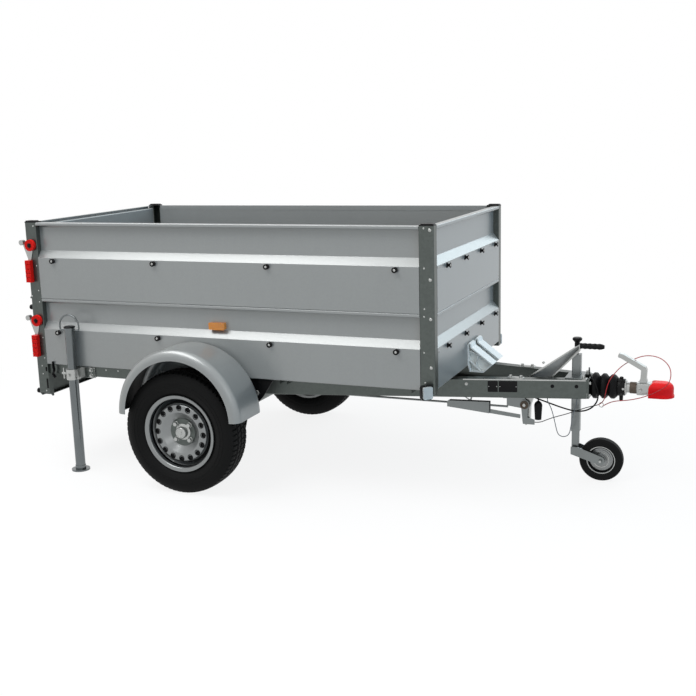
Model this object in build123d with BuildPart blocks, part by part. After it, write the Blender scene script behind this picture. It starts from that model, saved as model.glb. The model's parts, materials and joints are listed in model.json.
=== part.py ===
"""Single-axle braked box trailer with raised sides, parked on its jockey wheel and rear prop stands.

Millimetres. +X points to the tow end, +Y to the trailer's left, +Z up. The ground is Z = 0, and the
origin lies under the middle of the whole trailer.
"""

import os
from math import cos, radians, sin, tan

from build123d import *

os.makedirs("parts", exist_ok=True)

# Box: outer sizes and the heights where its boards meet
box_x = -454.0
box_length = 2100.0
box_width = 1155.0
board_bottom_z = 525.0
split_z = 857.0
box_top_z = 1232.0
sheet = 2.5
fold_r = 4.0
board_recess = 30.0
board_rail = 15.0
board_hem = 25.0
step_share = 0.54
step_rise = 35.0
floor_thickness = 9.0
floor_gap = 2.0

# Corner posts: widths of the folded section, seen from above
post_side_width = 66.0
post_end_width = 48.0
post_return = 32.0
post_corner_r = 9.0
front_post_cut = 12.0
rear_post_cut = 24.0
front_post_drop = 23.0
rear_post_drop = 170.0
cap_height = 5.0
buffer_r = 13.0
buffer_length = 24.0
buffer_inset = 21.0

# Tail gates and their hinges
gate_side_gap = 6.0
gate_gap = 10.0
hinge_back = 18.0
hinge_drop = 15.0
hinge_r = 9.0
hinge_pin_r = 5.0
hinge_fit = 0.05
hinge_length = 48.0
hinge_side_gap = 5.0
hinge_ear = 8.0
hinge_side = 177.5
leaf_height = 60.0
leaf_thickness = 4.0

# Under-frame
rail_height = 52.0
rail_lead = 150.0
rail_flange = 35.0
rail_inset = 14.0
frame_wall = 3.0
cross_height = 30.0
cross_width = 40.0
cross_count = 4
cross_rear_inset = 70.0
cross_front_inset = 40.0
beam_height = 90.0
beam_flange = 45.0
beam_wall = 4.0
beam_fold_r = 7.0
drawbar_reach = 560.0
beam_tail = 150.0
beam_front_y = 75.0
beam_side_gap = 109.5

# Road wheels and axle
axle_setback = 120.0
wheel_gap = 49.0
tyre_r = 289.0
tyre_width = 157.0
tread_width = 116.0
tread_crown = 5.0
shoulder = 13.0
bead_lip = 6.0
rim_width = 126.0
rim_seat_r = 166.0
rim_flange = 16.0
rim_drop = 16.0
rim_wall = 4.0
rim_bend_r = 6.5
rim_offset = 22.0
disc_rise = 27.0
disc_bend_r = 12.0
hub_flat_r = 64.0
rim_centre_r = 31.0
vent_count = 16
vent_r = 11.0
vent_inset = 28.0
bolt_circle_r = 50.0
bolt_hole_r = 7.0
bolt_count = 4
seat_gap = 0.3
drum_inset = 38.0
drum_width = 50.0
drum_gap = 10.0
drum_plate = 4.0
drum_cap_r = 27.0
drum_cap_length = 30.0
drum_cap_wall = 10.0
drum_cap_edge_r = 6.0
stub_r = 15.0
stub_end = 15.0
stub_fit = 0.05
axle_tube_r = 38.0
axle_drop = 2.0
arm_length = 150.0
arm_thickness = 25.0
arm_eye_r = 45.0
arm_hub_r = 36.0
arm_clear = 12.0

# Mudguards
guard_lead = 21.0
guard_rise = 82.0
guard_r = 320.0
guard_width = 245.0
guard_wall = 2.5
guard_lip = 48.0
guard_bend = 36.0
guard_root_bend = 46.0
guard_front_angle = 1.0
guard_arc = 178.0

# Tow end: overrun housing, bellows, coupling
tow_z = 455.0
housing_plate = 8.0
housing_inset = 2.0
housing_nose_r = 33.0
housing_nose = 24.0
bellows_length = 119.0
bellows_r = 60.0
bellows_valley_r = 44.0
bellows_taper = 2.0
bellows_crest = 7.0
bellows_folds = 3
shaft_r = 25.0
shaft_gap = 0.5
collar_length = 40.0
collar_r = 34.0
collar_edge_r = 3.0
ball_reach = 175.0
ball_r = 25.4
ball_wall = 5.6
socket_depth = 24.0
coupling_width = 58.0
coupling_height = 56.0
coupling_neck = 48.0
coupling_neck_length = 46.0
coupling_edge_r = 9.0
bumper_reach = 73.0
bumper_back = 36.0
bumper_drop = 32.0
bumper_rise = 35.0
bumper_r = 52.0
bumper_dome = 28.0
bumper_lip = 3.0
bumper_lip_height = 9.0
bumper_gap = 0.5
handle_setback = 61.0
handle_width = 30.0
handle_wall = 5.0
handle_bend_r = 6.0

# Jockey wheel: a square tube that slides in a socket between the beams
jockey_setback = 62.0
jockey_y = 15.0
tube_side = 40.0
tube_edge_r = 5.0
tube_top_z = 595.0
tube_bottom_z = 228.0
leg_side = 33.0
leg_bottom_z = 121.0
socket_wall = 2.5
socket_gap = 0.5
socket_drop = 8.0
socket_foot = 16.0
socket_plate = 5.0
jockey_trail = 121.0
jockey_r = 100.0
jockey_width = 50.0
jockey_rim_r = 66.0
jockey_rim_wall = 5.0
jockey_rim_inset = 5.0
jockey_hub_r = 24.0
jockey_web = 10.0
jockey_tread_r = 11.0
jockey_pin_r = 8.0
pin_end = 6.0
fork_gap = 6.0
fork_wall = 4.0
fork_eye_r = 20.0
fork_height = 36.0
fork_bridge = 10.0
knob_height = 77.0
knob_r = 22.0
knob_neck_r = 12.0
knob_stem_r = 7.0

# Handbrake and brake rod
lever_y = -38.0
lever_width = 30.0
lever_gap = 6.0
lever_flange = 4.0
lever_web = 4.0
lever_reach = 248.0
lever_rise = 280.0
lever_shank = 90.0
lever_root_rise = 132.0
lever_root_reach = 116.0
pivot_setback = 287.0
pivot_z = 356.0
pivot_r = 8.0
washer_r = 23.0
washer_height = 6.0
bracket_wall = 5.0
bracket_reach = 85.0
bracket_strap = 20.0
guide_reach = 47.0
guide_drop = 94.0
grip_length = 108.0
grip_r = 14.0
grip_wave = 2.0
grip_waves = 5
rod_r = 5.0
rod_z = 334.0
yoke_reach = 52.0
yoke_width = 24.0
store_setback = 380.0
store_length = 207.0
store_wall = 3.0
link_gap = 26.0
link_height = 17.0
link_thickness = 8.0

# Rear prop stands
stand_inset = 245.0
stand_out = 34.5
stand_r = 24.0
stand_top_z = 725.0
stand_cap_r = 26.0
stand_cap_height = 10.0
stand_foot_r = 45.0
stand_foot_height = 8.0
stand_neck_height = 26.0
stand_fit = 0.3
bail_r = 56.0
bail_rise = 7.0
bail_open = 20.0
bail_wire_r = 4.0
clamp_bottom_z = 468.0
clamp_height = 52.0
clamp_wall = 9.0
clamp_plate = 6.0
clamp_plate_reach = 98.0
screw_r = 6.0
screw_length = 34.0
wing_r = 4.5
wing_length = 54.0

# Lamps, latches and wheel chocks
lamp_width = 54.0
lamp_height = 64.0
lamp_depth = 18.0
lamp_setback = 24.0
lamp_out = 34.0
lamp_turn = 45.0
lamp_edge_r = 12.0
lamp_arm = 24.0
lens_depth = 10.0
lens_margin = 5.0
marker_length = 82.0
marker_height = 34.0
marker_depth = 22.0
marker_drop = 98.0
marker_setback = 9.0
marker_edge_r = 6.0
lamp_board_inset = 10.0
lamp_board_gap = 4.0
rear_lamp_width = 215.0
rear_lamp_height = 70.0
rear_lamp_depth = 28.0
rear_lamp_drop = 120.0
rear_lamp_edge_r = 12.0
latch_inset = 34.0
latch_drop = 110.0
latch_plate = 4.0
latch_ring_r = 28.0
latch_ring_bore = 12.0
latch_ring_depth = 16.0
latch_hook_r = 7.0
latch_hook_reach = 22.0
latch_pad_r = 13.0
latch_handle_drop = 74.0
latch_handle_length = 108.0
latch_handle_width = 32.0
latch_handle_depth = 28.0
latch_handle_edge_r = 5.0
latch_groove_r = 4.0
latch_grooves = 4
chock_width = 94.0
chock_gap = 20.0
chock_y = 50.0
chock_wall = 6.0
chock_web = 4.0
chock_rib = 2.5

# Cords
lead_r = 3.5
wire_r = 2.0
plug_r = 19.0
plug_neck_r = 12.0
plug_length = 88.0

# Places that follow from the sizes above
box_front_x = box_x + box_length / 2
box_rear_x = box_x - box_length / 2
box_side_y = box_width / 2
right_side_y = -box_side_y
board_front_x = box_front_x - post_side_width
board_rear_x = box_rear_x + post_side_width
board_end_y = box_side_y - post_end_width
gate_half_width = board_end_y - gate_side_gap
lower_step_z = board_bottom_z + step_share * (split_z - board_bottom_z)
upper_step_z = split_z + step_share * (box_top_z - split_z)
front_post_bottom_z = board_bottom_z - front_post_drop
rear_post_bottom_z = board_bottom_z - rear_post_drop
floor_z = board_bottom_z + sheet
rail_y = box_side_y - rail_inset
rail_bottom_z = board_bottom_z - rail_height
beam_top_z = board_bottom_z - cross_height
beam_bottom_z = beam_top_z - beam_height
beam_front_x = box_front_x + drawbar_reach
beam_rear_x = box_x - beam_tail
beam_rear_y = box_side_y - beam_side_gap
beam_spread = (beam_rear_y - beam_front_y) / (beam_front_x - beam_rear_x)
wheel_x = box_x - axle_setback
wheel_y = box_side_y + wheel_gap + tyre_width / 2
wheel_z = tyre_r
axle_tube_x = wheel_x + arm_length
axle_tube_z = beam_bottom_z - axle_tube_r - axle_drop
rim_flange_r = rim_seat_r + rim_flange
rim_well_r = rim_seat_r - rim_drop
vent_circle_r = rim_well_r - vent_inset
drum_r = rim_well_r - drum_inset
bellows_x = beam_front_x + housing_plate
collar_x = bellows_x + bellows_length
coupling_rear_x = collar_x + collar_length
ball_x = collar_x + ball_reach
head_top_z = tow_z + coupling_height / 2
jockey_x = beam_front_x - jockey_setback
jockey_hub_x = jockey_x + jockey_trail
pivot_x = beam_front_x - pivot_setback
stand_x = box_rear_x + stand_inset
stand_y = box_side_y + stand_out


# Boards: one folded sheet each, with a proud skirt, a slope, a recess and a top rail
board_table = (
    # name, bottom, top, height where the skirt ends
    ("lower", board_bottom_z, split_z, lower_step_z),
    ("upper", split_z, box_top_z, upper_step_z),
)
for level, bottom_z, top_z, step_z in board_table:
    # depth behind the outer face and height of each fold, from the bottom hem to the top hem
    folds = (
        (board_hem, bottom_z),
        (0, bottom_z),
        (0, step_z),
        (board_recess, step_z + step_rise),
        (board_recess, top_z - board_rail),
        (0, top_z - board_rail),
        (0, top_z),
        (board_hem, top_z),
    )
    with BuildPart() as side_board:
        with BuildSketch(Plane.YZ.offset(board_rear_x)):
            with BuildLine():
                FilletPolyline(*[(right_side_y + depth, z) for depth, z in folds], radius=fold_r)
                offset(amount=sheet, kind=Kind.INTERSECTION, side=Side.RIGHT)
            make_face()
        extrude(amount=board_front_x - board_rear_x)
    with BuildPart() as left_board:
        mirror(side_board.part, about=Plane.XZ)
    with BuildPart() as front_board:
        with BuildSketch(Plane.XZ):
            with BuildLine():
                FilletPolyline(*[(box_front_x - depth, z) for depth, z in folds], radius=fold_r)
                offset(amount=sheet, kind=Kind.INTERSECTION, side=Side.LEFT)
            make_face()
        extrude(amount=board_end_y, both=True)
    for board, name in (
        (side_board, f"side_board_{level}_right"),
        (left_board, f"side_board_{level}_left"),
        (front_board, f"front_board_{level}"),
    ):
        board.part.label = name
        export_step(board.part, f"parts/{name}.step")

# Corner posts: folded sheet round each corner, with returns that close the boards' ends
post_table = (
    # name, corner X, direction towards the box, bottom, top, height of the sloping cut at the foot
    ("front_posts_lower", box_front_x, -1, front_post_bottom_z, split_z, front_post_cut),
    ("front_posts_upper", box_front_x, -1, split_z, box_top_z, 0),
    ("rear_posts_lower", box_rear_x, 1, rear_post_bottom_z, split_z, rear_post_cut),
    ("rear_posts_upper", box_rear_x, 1, split_z, box_top_z, 0),
)
for name, corner_x, inward, bottom_z, top_z, cut in post_table:
    with BuildPart() as posts:
        with BuildSketch(Plane.XY.offset(bottom_z)):
            with BuildLine():
                FilletPolyline(
                    (corner_x + inward * post_side_width, right_side_y + post_return),
                    (corner_x + inward * post_side_width, right_side_y),
                    (corner_x, right_side_y),
                    (corner_x, right_side_y + post_end_width),
                    (corner_x + inward * post_return, right_side_y + post_end_width),
                    radius=[fold_r, post_corner_r, fold_r],
                )
                offset(
                    amount=sheet,
                    kind=Kind.INTERSECTION,
                    side=Side.LEFT if inward < 0 else Side.RIGHT,
                )
            make_face()
            mirror(about=Plane.XZ)
        extrude(amount=top_z - bottom_z)
        if cut:
            with BuildSketch(Plane.YZ.offset(corner_x + inward * post_side_width / 2)):
                with BuildLine():
                    Polyline(
                        (right_side_y - sheet, bottom_z - sheet),
                        (right_side_y - sheet, bottom_z + cut),
                        (right_side_y + cut, bottom_z - sheet),
                        close=True,
                    )
                make_face()
                mirror(about=Plane.YZ)
            extrude(amount=post_side_width, both=True, mode=Mode.SUBTRACT)
    posts.part.label = name
    export_step(posts.part, f"parts/{name}.step")

# Black plastic caps on the four corner posts
with BuildPart() as post_caps:
    for corner_x, inward in ((box_front_x, -1), (box_rear_x, 1)):
        for side in (-1, 1):
            with Locations(
                (
                    corner_x + inward * post_side_width / 2,
                    side * (box_side_y - post_end_width / 2),
                    box_top_z + cap_height / 2,
                )
            ):
                Box(post_side_width, post_end_width, cap_height)
    fillet(post_caps.edges().filter_by(Axis.Z), cap_height)
    fillet(post_caps.faces().sort_by(Axis.Z)[-4:].edges(), cap_height / 2)
post_caps.part.label = "post_caps"
export_step(post_caps.part, "parts/post_caps.step")

# Rubber buffers that stop the opened gates at the rear posts
with BuildPart() as rear_buffers:
    for buffer_z in (split_z - post_end_width, rear_post_bottom_z + rear_post_cut):
        with BuildSketch(Plane.YZ.offset(box_rear_x)):
            with Locations((buffer_inset - box_side_y, buffer_z), (box_side_y - buffer_inset, buffer_z)):
                Circle(buffer_r)
        extrude(amount=-buffer_length)
    fillet(rear_buffers.faces().sort_by(Axis.X)[:4].edges(), buffer_r / 2)
rear_buffers.part.label = "rear_buffers"
export_step(rear_buffers.part, "parts/rear_buffers.step")

# Load floor, notched round the posts
with BuildPart() as load_floor:
    floor_rear_x = box_rear_x + board_recess
    floor_front_x = box_front_x - sheet - floor_gap
    floor_half_y = box_side_y - sheet - floor_gap
    with BuildSketch(Plane.XY.offset(floor_z)):
        with Locations(((floor_rear_x + floor_front_x) / 2, 0)):
            Rectangle(floor_front_x - floor_rear_x, 2 * floor_half_y)
        notch_x = post_side_width + floor_gap
        notch_y = post_end_width + floor_gap
        for corner_x, inward in ((box_front_x, -1), (box_rear_x, 1)):
            for side in (-1, 1):
                with Locations((corner_x + inward * notch_x / 2, side * (box_side_y - notch_y / 2))):
                    Rectangle(notch_x, notch_y, mode=Mode.SUBTRACT)
    extrude(amount=floor_thickness)
load_floor.part.label = "load_floor"
export_step(load_floor.part, "parts/load_floor.step")

# Side rails of the under-frame: channels with their flanges turned inwards
with BuildPart() as side_rails:
    with BuildSketch(Plane.YZ.offset(board_rear_x)):
        with BuildLine():
            FilletPolyline(
                (-rail_y + rail_flange, rail_bottom_z),
                (-rail_y, rail_bottom_z),
                (-rail_y, board_bottom_z),
                (-rail_y + rail_flange, board_bottom_z),
                radius=fold_r,
            )
            offset(amount=frame_wall, kind=Kind.INTERSECTION, side=Side.RIGHT)
        make_face()
        mirror(about=Plane.YZ)
    extrude(amount=wheel_x + rail_lead - board_rear_x)
side_rails.part.label = "side_rails"
export_step(side_rails.part, "parts/side_rails.step")

# Cross members between the side rails, on the beams and under the floor
first_cross_x = box_rear_x + cross_rear_inset
cross_step = (board_front_x - cross_front_inset - first_cross_x) / (cross_count - 1)
with BuildPart() as cross_members:
    for i in range(cross_count):
        place = first_cross_x + i * cross_step
        with BuildSketch(Plane.XZ):
            with BuildLine():
                Polyline(
                    (place - cross_width / 2, beam_top_z),
                    (place - cross_width / 2, floor_z),
                    (place + cross_width / 2, floor_z),
                    (place + cross_width / 2, beam_top_z),
                )
                offset(amount=frame_wall, kind=Kind.INTERSECTION, side=Side.RIGHT)
            make_face()
        extrude(amount=rail_y - rail_flange, both=True)
cross_members.part.label = "cross_members"
export_step(cross_members.part, "parts/cross_members.step")

# V drawbar: two channels that spread from the coupling to the axle
beam_run = Vector(beam_front_x - beam_rear_x, beam_rear_y - beam_front_y, 0)
beam_plane = Plane(
    origin=(beam_rear_x, -beam_rear_y, beam_bottom_z),
    x_dir=(-beam_run.Y, beam_run.X, 0),
    z_dir=(beam_run.X, beam_run.Y, 0),
)
with BuildPart() as drawbar_beam_right:
    with BuildSketch(beam_plane):
        with BuildLine():
            FilletPolyline(
                (beam_flange, 0),
                (0, 0),
                (0, beam_height),
                (beam_flange, beam_height),
                radius=beam_fold_r,
            )
            offset(amount=beam_wall, kind=Kind.INTERSECTION, side=Side.RIGHT)
        make_face()
    extrude(amount=beam_run.length)
with BuildPart() as drawbar_beam_left:
    mirror(drawbar_beam_right.part, about=Plane.XZ)
for beam, name in ((drawbar_beam_right, "drawbar_beam_right"), (drawbar_beam_left, "drawbar_beam_left")):
    beam.part.label = name
    export_step(beam.part, f"parts/{name}.step")

# Axle tube with the saddles that bolt it under the drawbar beams
arm_outer_y = wheel_y - tyre_width / 2 - arm_clear
arm_inner_y = arm_outer_y - arm_thickness
saddle_y = beam_front_y + (beam_front_x - axle_tube_x) * beam_spread - beam_flange / 2
with BuildPart() as axle_tube:
    with BuildSketch(Plane.XZ.offset(-arm_inner_y)):
        with Locations((axle_tube_x, axle_tube_z)):
            Circle(axle_tube_r)
    extrude(amount=2 * arm_inner_y)
    for side in (-1, 1):
        with Locations((axle_tube_x, side * saddle_y, (axle_tube_z + beam_bottom_z) / 2)):
            Box(2 * axle_tube_r, beam_flange, beam_bottom_z - axle_tube_z)
    with Locations((axle_tube_x + yoke_reach / 2, lever_y, rod_z)):
        Box(yoke_reach, yoke_width, yoke_width)
axle_tube.part.label = "axle_tube"
export_step(axle_tube.part, "parts/axle_tube.step")

# Trailing arms: each carries a brake back plate and the stub that its hub turns on
drum_face_y = wheel_y + rim_offset
drum_back_y = drum_face_y - drum_width
back_plate_y = drum_back_y - drum_gap
stub_table = (
    # radius, inner end, outer end
    (2 * stub_r, arm_outer_y, back_plate_y),
    (rim_well_r - 2 * drum_plate, back_plate_y, back_plate_y + drum_plate),
    (stub_r, back_plate_y, drum_face_y + stub_end),
)
with BuildPart() as axle_arms:
    with BuildSketch(Plane.XZ.offset(arm_inner_y)):
        with Locations((axle_tube_x, axle_tube_z)):
            Circle(arm_eye_r)
        with Locations((wheel_x, wheel_z)):
            Circle(arm_hub_r)
        make_hull()
    extrude(amount=arm_thickness)
    for radius, inner_y, outer_y in stub_table:
        with BuildSketch(Plane.XZ.offset(inner_y)):
            with Locations((wheel_x, wheel_z)):
                Circle(radius)
        extrude(amount=outer_y - inner_y)
    mirror(about=Plane.XZ)
axle_arms.part.label = "axle_arms"
export_step(axle_arms.part, "parts/axle_arms.step")

# Road wheels: tyre, pressed steel rim, and brake drum with hub and dust cap
wheel_plane = Plane(origin=(wheel_x, -wheel_y, wheel_z), x_dir=(0, 0, 1), z_dir=(1, 0, 0))
wheel_axis = Axis((wheel_x, 0, wheel_z), (0, 1, 0))
half_tread = tread_width / 2
half_tyre = tyre_width / 2
wall_height = tyre_r - rim_flange_r
tyre_half = (
    # radius, distance from the tyre's middle
    (rim_seat_r + seat_gap, 0.44 * rim_width),
    (rim_flange_r + bead_lip, 0.47 * rim_width),
    (rim_flange_r + 0.28 * wall_height, half_tyre - bead_lip),
    (rim_flange_r + 0.52 * wall_height, half_tyre),
    (rim_flange_r + 0.72 * wall_height, half_tyre - bead_lip / 2),
    (tyre_r - tread_crown - shoulder, half_tread + shoulder),
    (tyre_r - tread_crown, half_tread),
    (tyre_r, half_tread / 2),
)
with BuildPart() as tyre_right:
    with BuildSketch(wheel_plane):
        with BuildLine():
            Polyline(*tyre_half, *[(r, -out) for r, out in reversed(tyre_half)], close=True)
        make_face()
    revolve(axis=wheel_axis)

with BuildPart() as rim_right:
    with BuildSketch(wheel_plane):
        with BuildLine():
            FilletPolyline(
                (rim_flange_r, rim_width / 2),
                (rim_seat_r, rim_width / 2 - rim_wall),
                (rim_seat_r, 0.22 * rim_width),
                (rim_well_r, 0.1 * rim_width),
                (rim_well_r, -0.1 * rim_width),
                (rim_seat_r, -0.22 * rim_width),
                (rim_seat_r, -rim_width / 2 + rim_wall),
                (rim_flange_r, -rim_width / 2),
                radius=rim_bend_r,
            )
            offset(amount=rim_wall, kind=Kind.INTERSECTION, side=Side.RIGHT)
        make_face()
    revolve(axis=wheel_axis)
    disc_back = (
        # radius, distance towards the outer face
        (rim_centre_r, rim_offset),
        (hub_flat_r, rim_offset),
        (vent_circle_r - 2 * vent_r, rim_offset + disc_rise),
        (vent_circle_r + vent_r, rim_offset + disc_rise),
        (rim_well_r - rim_wall / 2, 0.05 * rim_width),
    )
    with BuildSketch(wheel_plane):
        with BuildLine():
            FilletPolyline(*disc_back, radius=disc_bend_r)
            FilletPolyline(*[(r, out + rim_wall) for r, out in disc_back], radius=disc_bend_r)
            for r, out in (disc_back[0], disc_back[-1]):
                Line((r, out), (r, out + rim_wall))
        make_face()
    revolve(axis=wheel_axis)
    disc_plane = Plane(origin=(wheel_x, -wheel_y, wheel_z), x_dir=(1, 0, 0), z_dir=(0, -1, 0))
    with BuildSketch(disc_plane):
        with PolarLocations(vent_circle_r, vent_count):
            Circle(vent_r)
        with PolarLocations(bolt_circle_r, bolt_count, start_angle=45):
            Circle(bolt_hole_r)
    extrude(amount=rim_width / 2, mode=Mode.SUBTRACT)

with BuildPart() as brake_drum_right:
    with BuildSketch(Plane.XZ.offset(drum_back_y)):
        with Locations((wheel_x, wheel_z)):
            Circle(drum_r)
    extrude(amount=drum_width)
    with BuildSketch(Plane.XZ.offset(drum_face_y)):
        with Locations((wheel_x, wheel_z)):
            Circle(drum_cap_r)
    extrude(amount=drum_cap_length)
    fillet(brake_drum_right.faces().sort_by(Axis.Y)[0].edges(), drum_cap_edge_r)
    with BuildSketch(Plane.XZ.offset(drum_back_y)):
        with Locations((wheel_x, wheel_z)):
            Circle(stub_r + stub_fit)
    extrude(amount=drum_width + drum_cap_length - drum_cap_wall, mode=Mode.SUBTRACT)

for piece, name in ((tyre_right, "tyre"), (rim_right, "rim"), (brake_drum_right, "brake_drum")):
    with BuildPart() as left_piece:
        mirror(piece.part, about=Plane.XZ)
    piece.part.label = f"{name}_right"
    left_piece.part.label = f"{name}_left"
    export_step(piece.part, f"parts/{name}_right.step")
    export_step(left_piece.part, f"parts/{name}_left.step")

# Mudguards: arched sheet with both edges rolled down, the inner one flat against the box side
guard_x = wheel_x + guard_lead
guard_z = wheel_z + guard_rise
guard_tip = radians(guard_front_angle)
guard_plane = Plane(
    origin=(guard_x, 0, guard_z),
    x_dir=(cos(guard_tip), 0, sin(guard_tip)),
    z_dir=(-sin(guard_tip), 0, cos(guard_tip)),
)
with BuildPart() as mudguard_right:
    with BuildSketch(guard_plane):
        with BuildLine():
            FilletPolyline(
                (guard_r - guard_lip, right_side_y),
                (guard_r, right_side_y),
                (guard_r, right_side_y - guard_width),
                (guard_r - guard_lip, right_side_y - guard_width),
                radius=[guard_root_bend, guard_bend],
            )
            offset(amount=guard_wall, side=Side.RIGHT)
        make_face()
    revolve(axis=Axis((guard_x, 0, guard_z), (0, -1, 0)), revolution_arc=guard_arc)
with BuildPart() as mudguard_left:
    mirror(mudguard_right.part, about=Plane.XZ)
for guard, name in ((mudguard_right, "mudguard_right"), (mudguard_left, "mudguard_left")):
    guard.part.label = name
    export_step(guard.part, f"parts/{name}.step")

# Rear lamp board between the rear posts, with its two lamps
lamp_board_x = box_rear_x + lamp_board_inset
lamp_board_top_z = board_bottom_z - lamp_board_gap
with BuildPart() as rear_lamp_board:
    with BuildSketch(Plane.XZ):
        with BuildLine():
            FilletPolyline(
                (lamp_board_x + board_hem, rear_post_bottom_z),
                (lamp_board_x, rear_post_bottom_z),
                (lamp_board_x, lamp_board_top_z),
                (lamp_board_x + board_hem, lamp_board_top_z),
                radius=fold_r,
            )
            offset(amount=sheet, kind=Kind.INTERSECTION, side=Side.RIGHT)
        make_face()
    extrude(amount=board_end_y, both=True)
rear_lamp_board.part.label = "rear_lamp_board"
export_step(rear_lamp_board.part, "parts/rear_lamp_board.step")

with BuildPart() as rear_lamps:
    for side in (-1, 1):
        with Locations(
            (
                lamp_board_x - rear_lamp_depth / 2,
                side * (gate_half_width - rear_lamp_width / 2),
                board_bottom_z - rear_lamp_drop,
            )
        ):
            Box(rear_lamp_depth, rear_lamp_width, rear_lamp_height)
    fillet(rear_lamps.edges().filter_by(Axis.X), rear_lamp_edge_r)
rear_lamps.part.label = "rear_lamps"
export_step(rear_lamps.part, "parts/rear_lamps.step")

# Tail gates: each hangs on pins behind the box, below its own bottom edge
hinge_x = box_rear_x - hinge_back
lower_hinge_z = board_bottom_z - hinge_drop
lower_hinge_y = box_side_y - hinge_side
upper_gate_z = split_z - hinge_drop
upper_hinge_z = split_z - 1
upper_hinge_y = gate_half_width - hinge_length / 2
gate_table = (
    # name, bottom, top, end of the skirt, hinge height, hinge Y
    ("tailgate_lower", board_bottom_z, upper_gate_z - gate_gap, lower_step_z, lower_hinge_z, lower_hinge_y),
    ("tailgate_upper", upper_gate_z, box_top_z, upper_step_z, upper_hinge_z, upper_hinge_y),
)
for name, bottom_z, top_z, step_z, axis_z, axis_y in gate_table:
    with BuildPart() as gate:
        with BuildSketch(Plane.XZ):
            with BuildLine():
                FilletPolyline(
                    (box_rear_x + board_hem / 2, bottom_z),
                    (box_rear_x, bottom_z),
                    (box_rear_x, step_z),
                    (box_rear_x + board_recess, step_z + step_rise),
                    (box_rear_x + board_recess, top_z - board_rail),
                    (box_rear_x, top_z - board_rail),
                    (box_rear_x, top_z),
                    (box_rear_x + board_hem, top_z),
                    radius=fold_r,
                )
                offset(amount=sheet, kind=Kind.INTERSECTION, side=Side.RIGHT)
            make_face()
        extrude(amount=gate_half_width, both=True)
        for side in (-1, 1):
            with BuildSketch(Plane.XZ.offset(-side * axis_y)):
                with Locations((hinge_x, axis_z)):
                    Circle(hinge_r)
                with BuildLine():
                    Polyline(
                        (hinge_x, axis_z - hinge_r),
                        (hinge_x, axis_z + hinge_r),
                        (box_rear_x - leaf_thickness, axis_z + hinge_r + hinge_back / 2),
                        (box_rear_x - leaf_thickness, axis_z + leaf_height),
                        (box_rear_x, axis_z + leaf_height),
                        (box_rear_x, axis_z - hinge_r / 2),
                        close=True,
                    )
                make_face()
                with Locations((hinge_x, axis_z)):
                    Circle(hinge_pin_r + hinge_fit, mode=Mode.SUBTRACT)
            extrude(amount=hinge_length / 2, both=True)
    gate.part.label = name
    export_step(gate.part, f"parts/{name}.step")

# Fixed halves of the hinges: ears on the lamp board, and on the rear posts for the upper gate
ear_reach = hinge_length / 2 + hinge_side_gap
ear_z = hinge_r - 1
with BuildPart() as gate_hinges:
    for side in (-1, 1):
        with BuildSketch(Plane.XZ.offset(-side * lower_hinge_y)):
            with Locations((hinge_x, lower_hinge_z)):
                Circle(hinge_pin_r)
        extrude(amount=ear_reach + hinge_ear, both=True)
        for end in (-1, 1):
            with BuildSketch(Plane.XZ.offset(-side * lower_hinge_y + end * (ear_reach + hinge_ear / 2))):
                with Locations((hinge_x, lower_hinge_z)):
                    Circle(ear_z)
                with Locations(((hinge_x + lamp_board_x) / 2, lower_hinge_z)):
                    Rectangle(lamp_board_x - hinge_x, 2 * ear_z)
            extrude(amount=hinge_ear / 2, both=True)
        post_ear_y = board_end_y + hinge_ear
        with BuildSketch(Plane.XZ.offset(-side * (upper_hinge_y + post_ear_y + hinge_ear / 2) / 2)):
            with Locations((hinge_x, upper_hinge_z)):
                Circle(hinge_pin_r)
        extrude(amount=(post_ear_y + hinge_ear / 2 - upper_hinge_y) / 2 + hinge_length / 4, both=True)
        with BuildSketch(Plane.XZ.offset(-side * post_ear_y)):
            with Locations((hinge_x, upper_hinge_z)):
                Circle(hinge_r)
            with Locations(((hinge_x + box_rear_x) / 2, upper_hinge_z)):
                Rectangle(hinge_back, 2 * hinge_r)
        extrude(amount=hinge_ear / 2, both=True)
gate_hinges.part.label = "gate_hinges"
export_step(gate_hinges.part, "parts/gate_hinges.step")

# Front position lamps on short arms, turned out beside the front posts, and amber side markers
lamp_x = box_front_x - lamp_setback
lamp_z = board_bottom_z
lamp_faces = [
    Plane(
        origin=(lamp_x, side * (box_side_y + lamp_out), lamp_z),
        x_dir=(0, 0, 1),
        z_dir=(cos(radians(lamp_turn)), side * sin(radians(lamp_turn)), 0),
    )
    for side in (-1, 1)
]
with BuildPart() as front_lamp_bodies:
    for face, side in zip(lamp_faces, (-1, 1)):
        with BuildSketch(face):
            RectangleRounded(lamp_height, lamp_width, lamp_edge_r)
        extrude(amount=-lamp_depth)
        with Locations((lamp_x - lamp_depth, side * (box_side_y + lamp_out / 2), lamp_z)):
            Box(lamp_arm, lamp_out, lamp_arm)
front_lamp_bodies.part.label = "front_lamp_bodies"
export_step(front_lamp_bodies.part, "parts/front_lamp_bodies.step")

with BuildPart() as front_lamp_lenses:
    for face in lamp_faces:
        with BuildSketch(face):
            RectangleRounded(
                lamp_height - 2 * lens_margin, lamp_width - 2 * lens_margin, lamp_edge_r - lens_margin
            )
        extrude(amount=lens_depth)
front_lamp_lenses.part.label = "front_lamp_lenses"
export_step(front_lamp_lenses.part, "parts/front_lamp_lenses.step")

with BuildPart() as side_markers:
    for side in (-1, 1):
        with Locations(
            (
                box_x - marker_setback,
                side * (box_side_y - board_recess + marker_depth / 2),
                split_z - marker_drop,
            )
        ):
            Box(marker_length, marker_depth, marker_height)
    fillet(side_markers.edges().filter_by(Axis.Y), marker_edge_r)
side_markers.part.label = "side_markers"
export_step(side_markers.part, "parts/side_markers.step")

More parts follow.
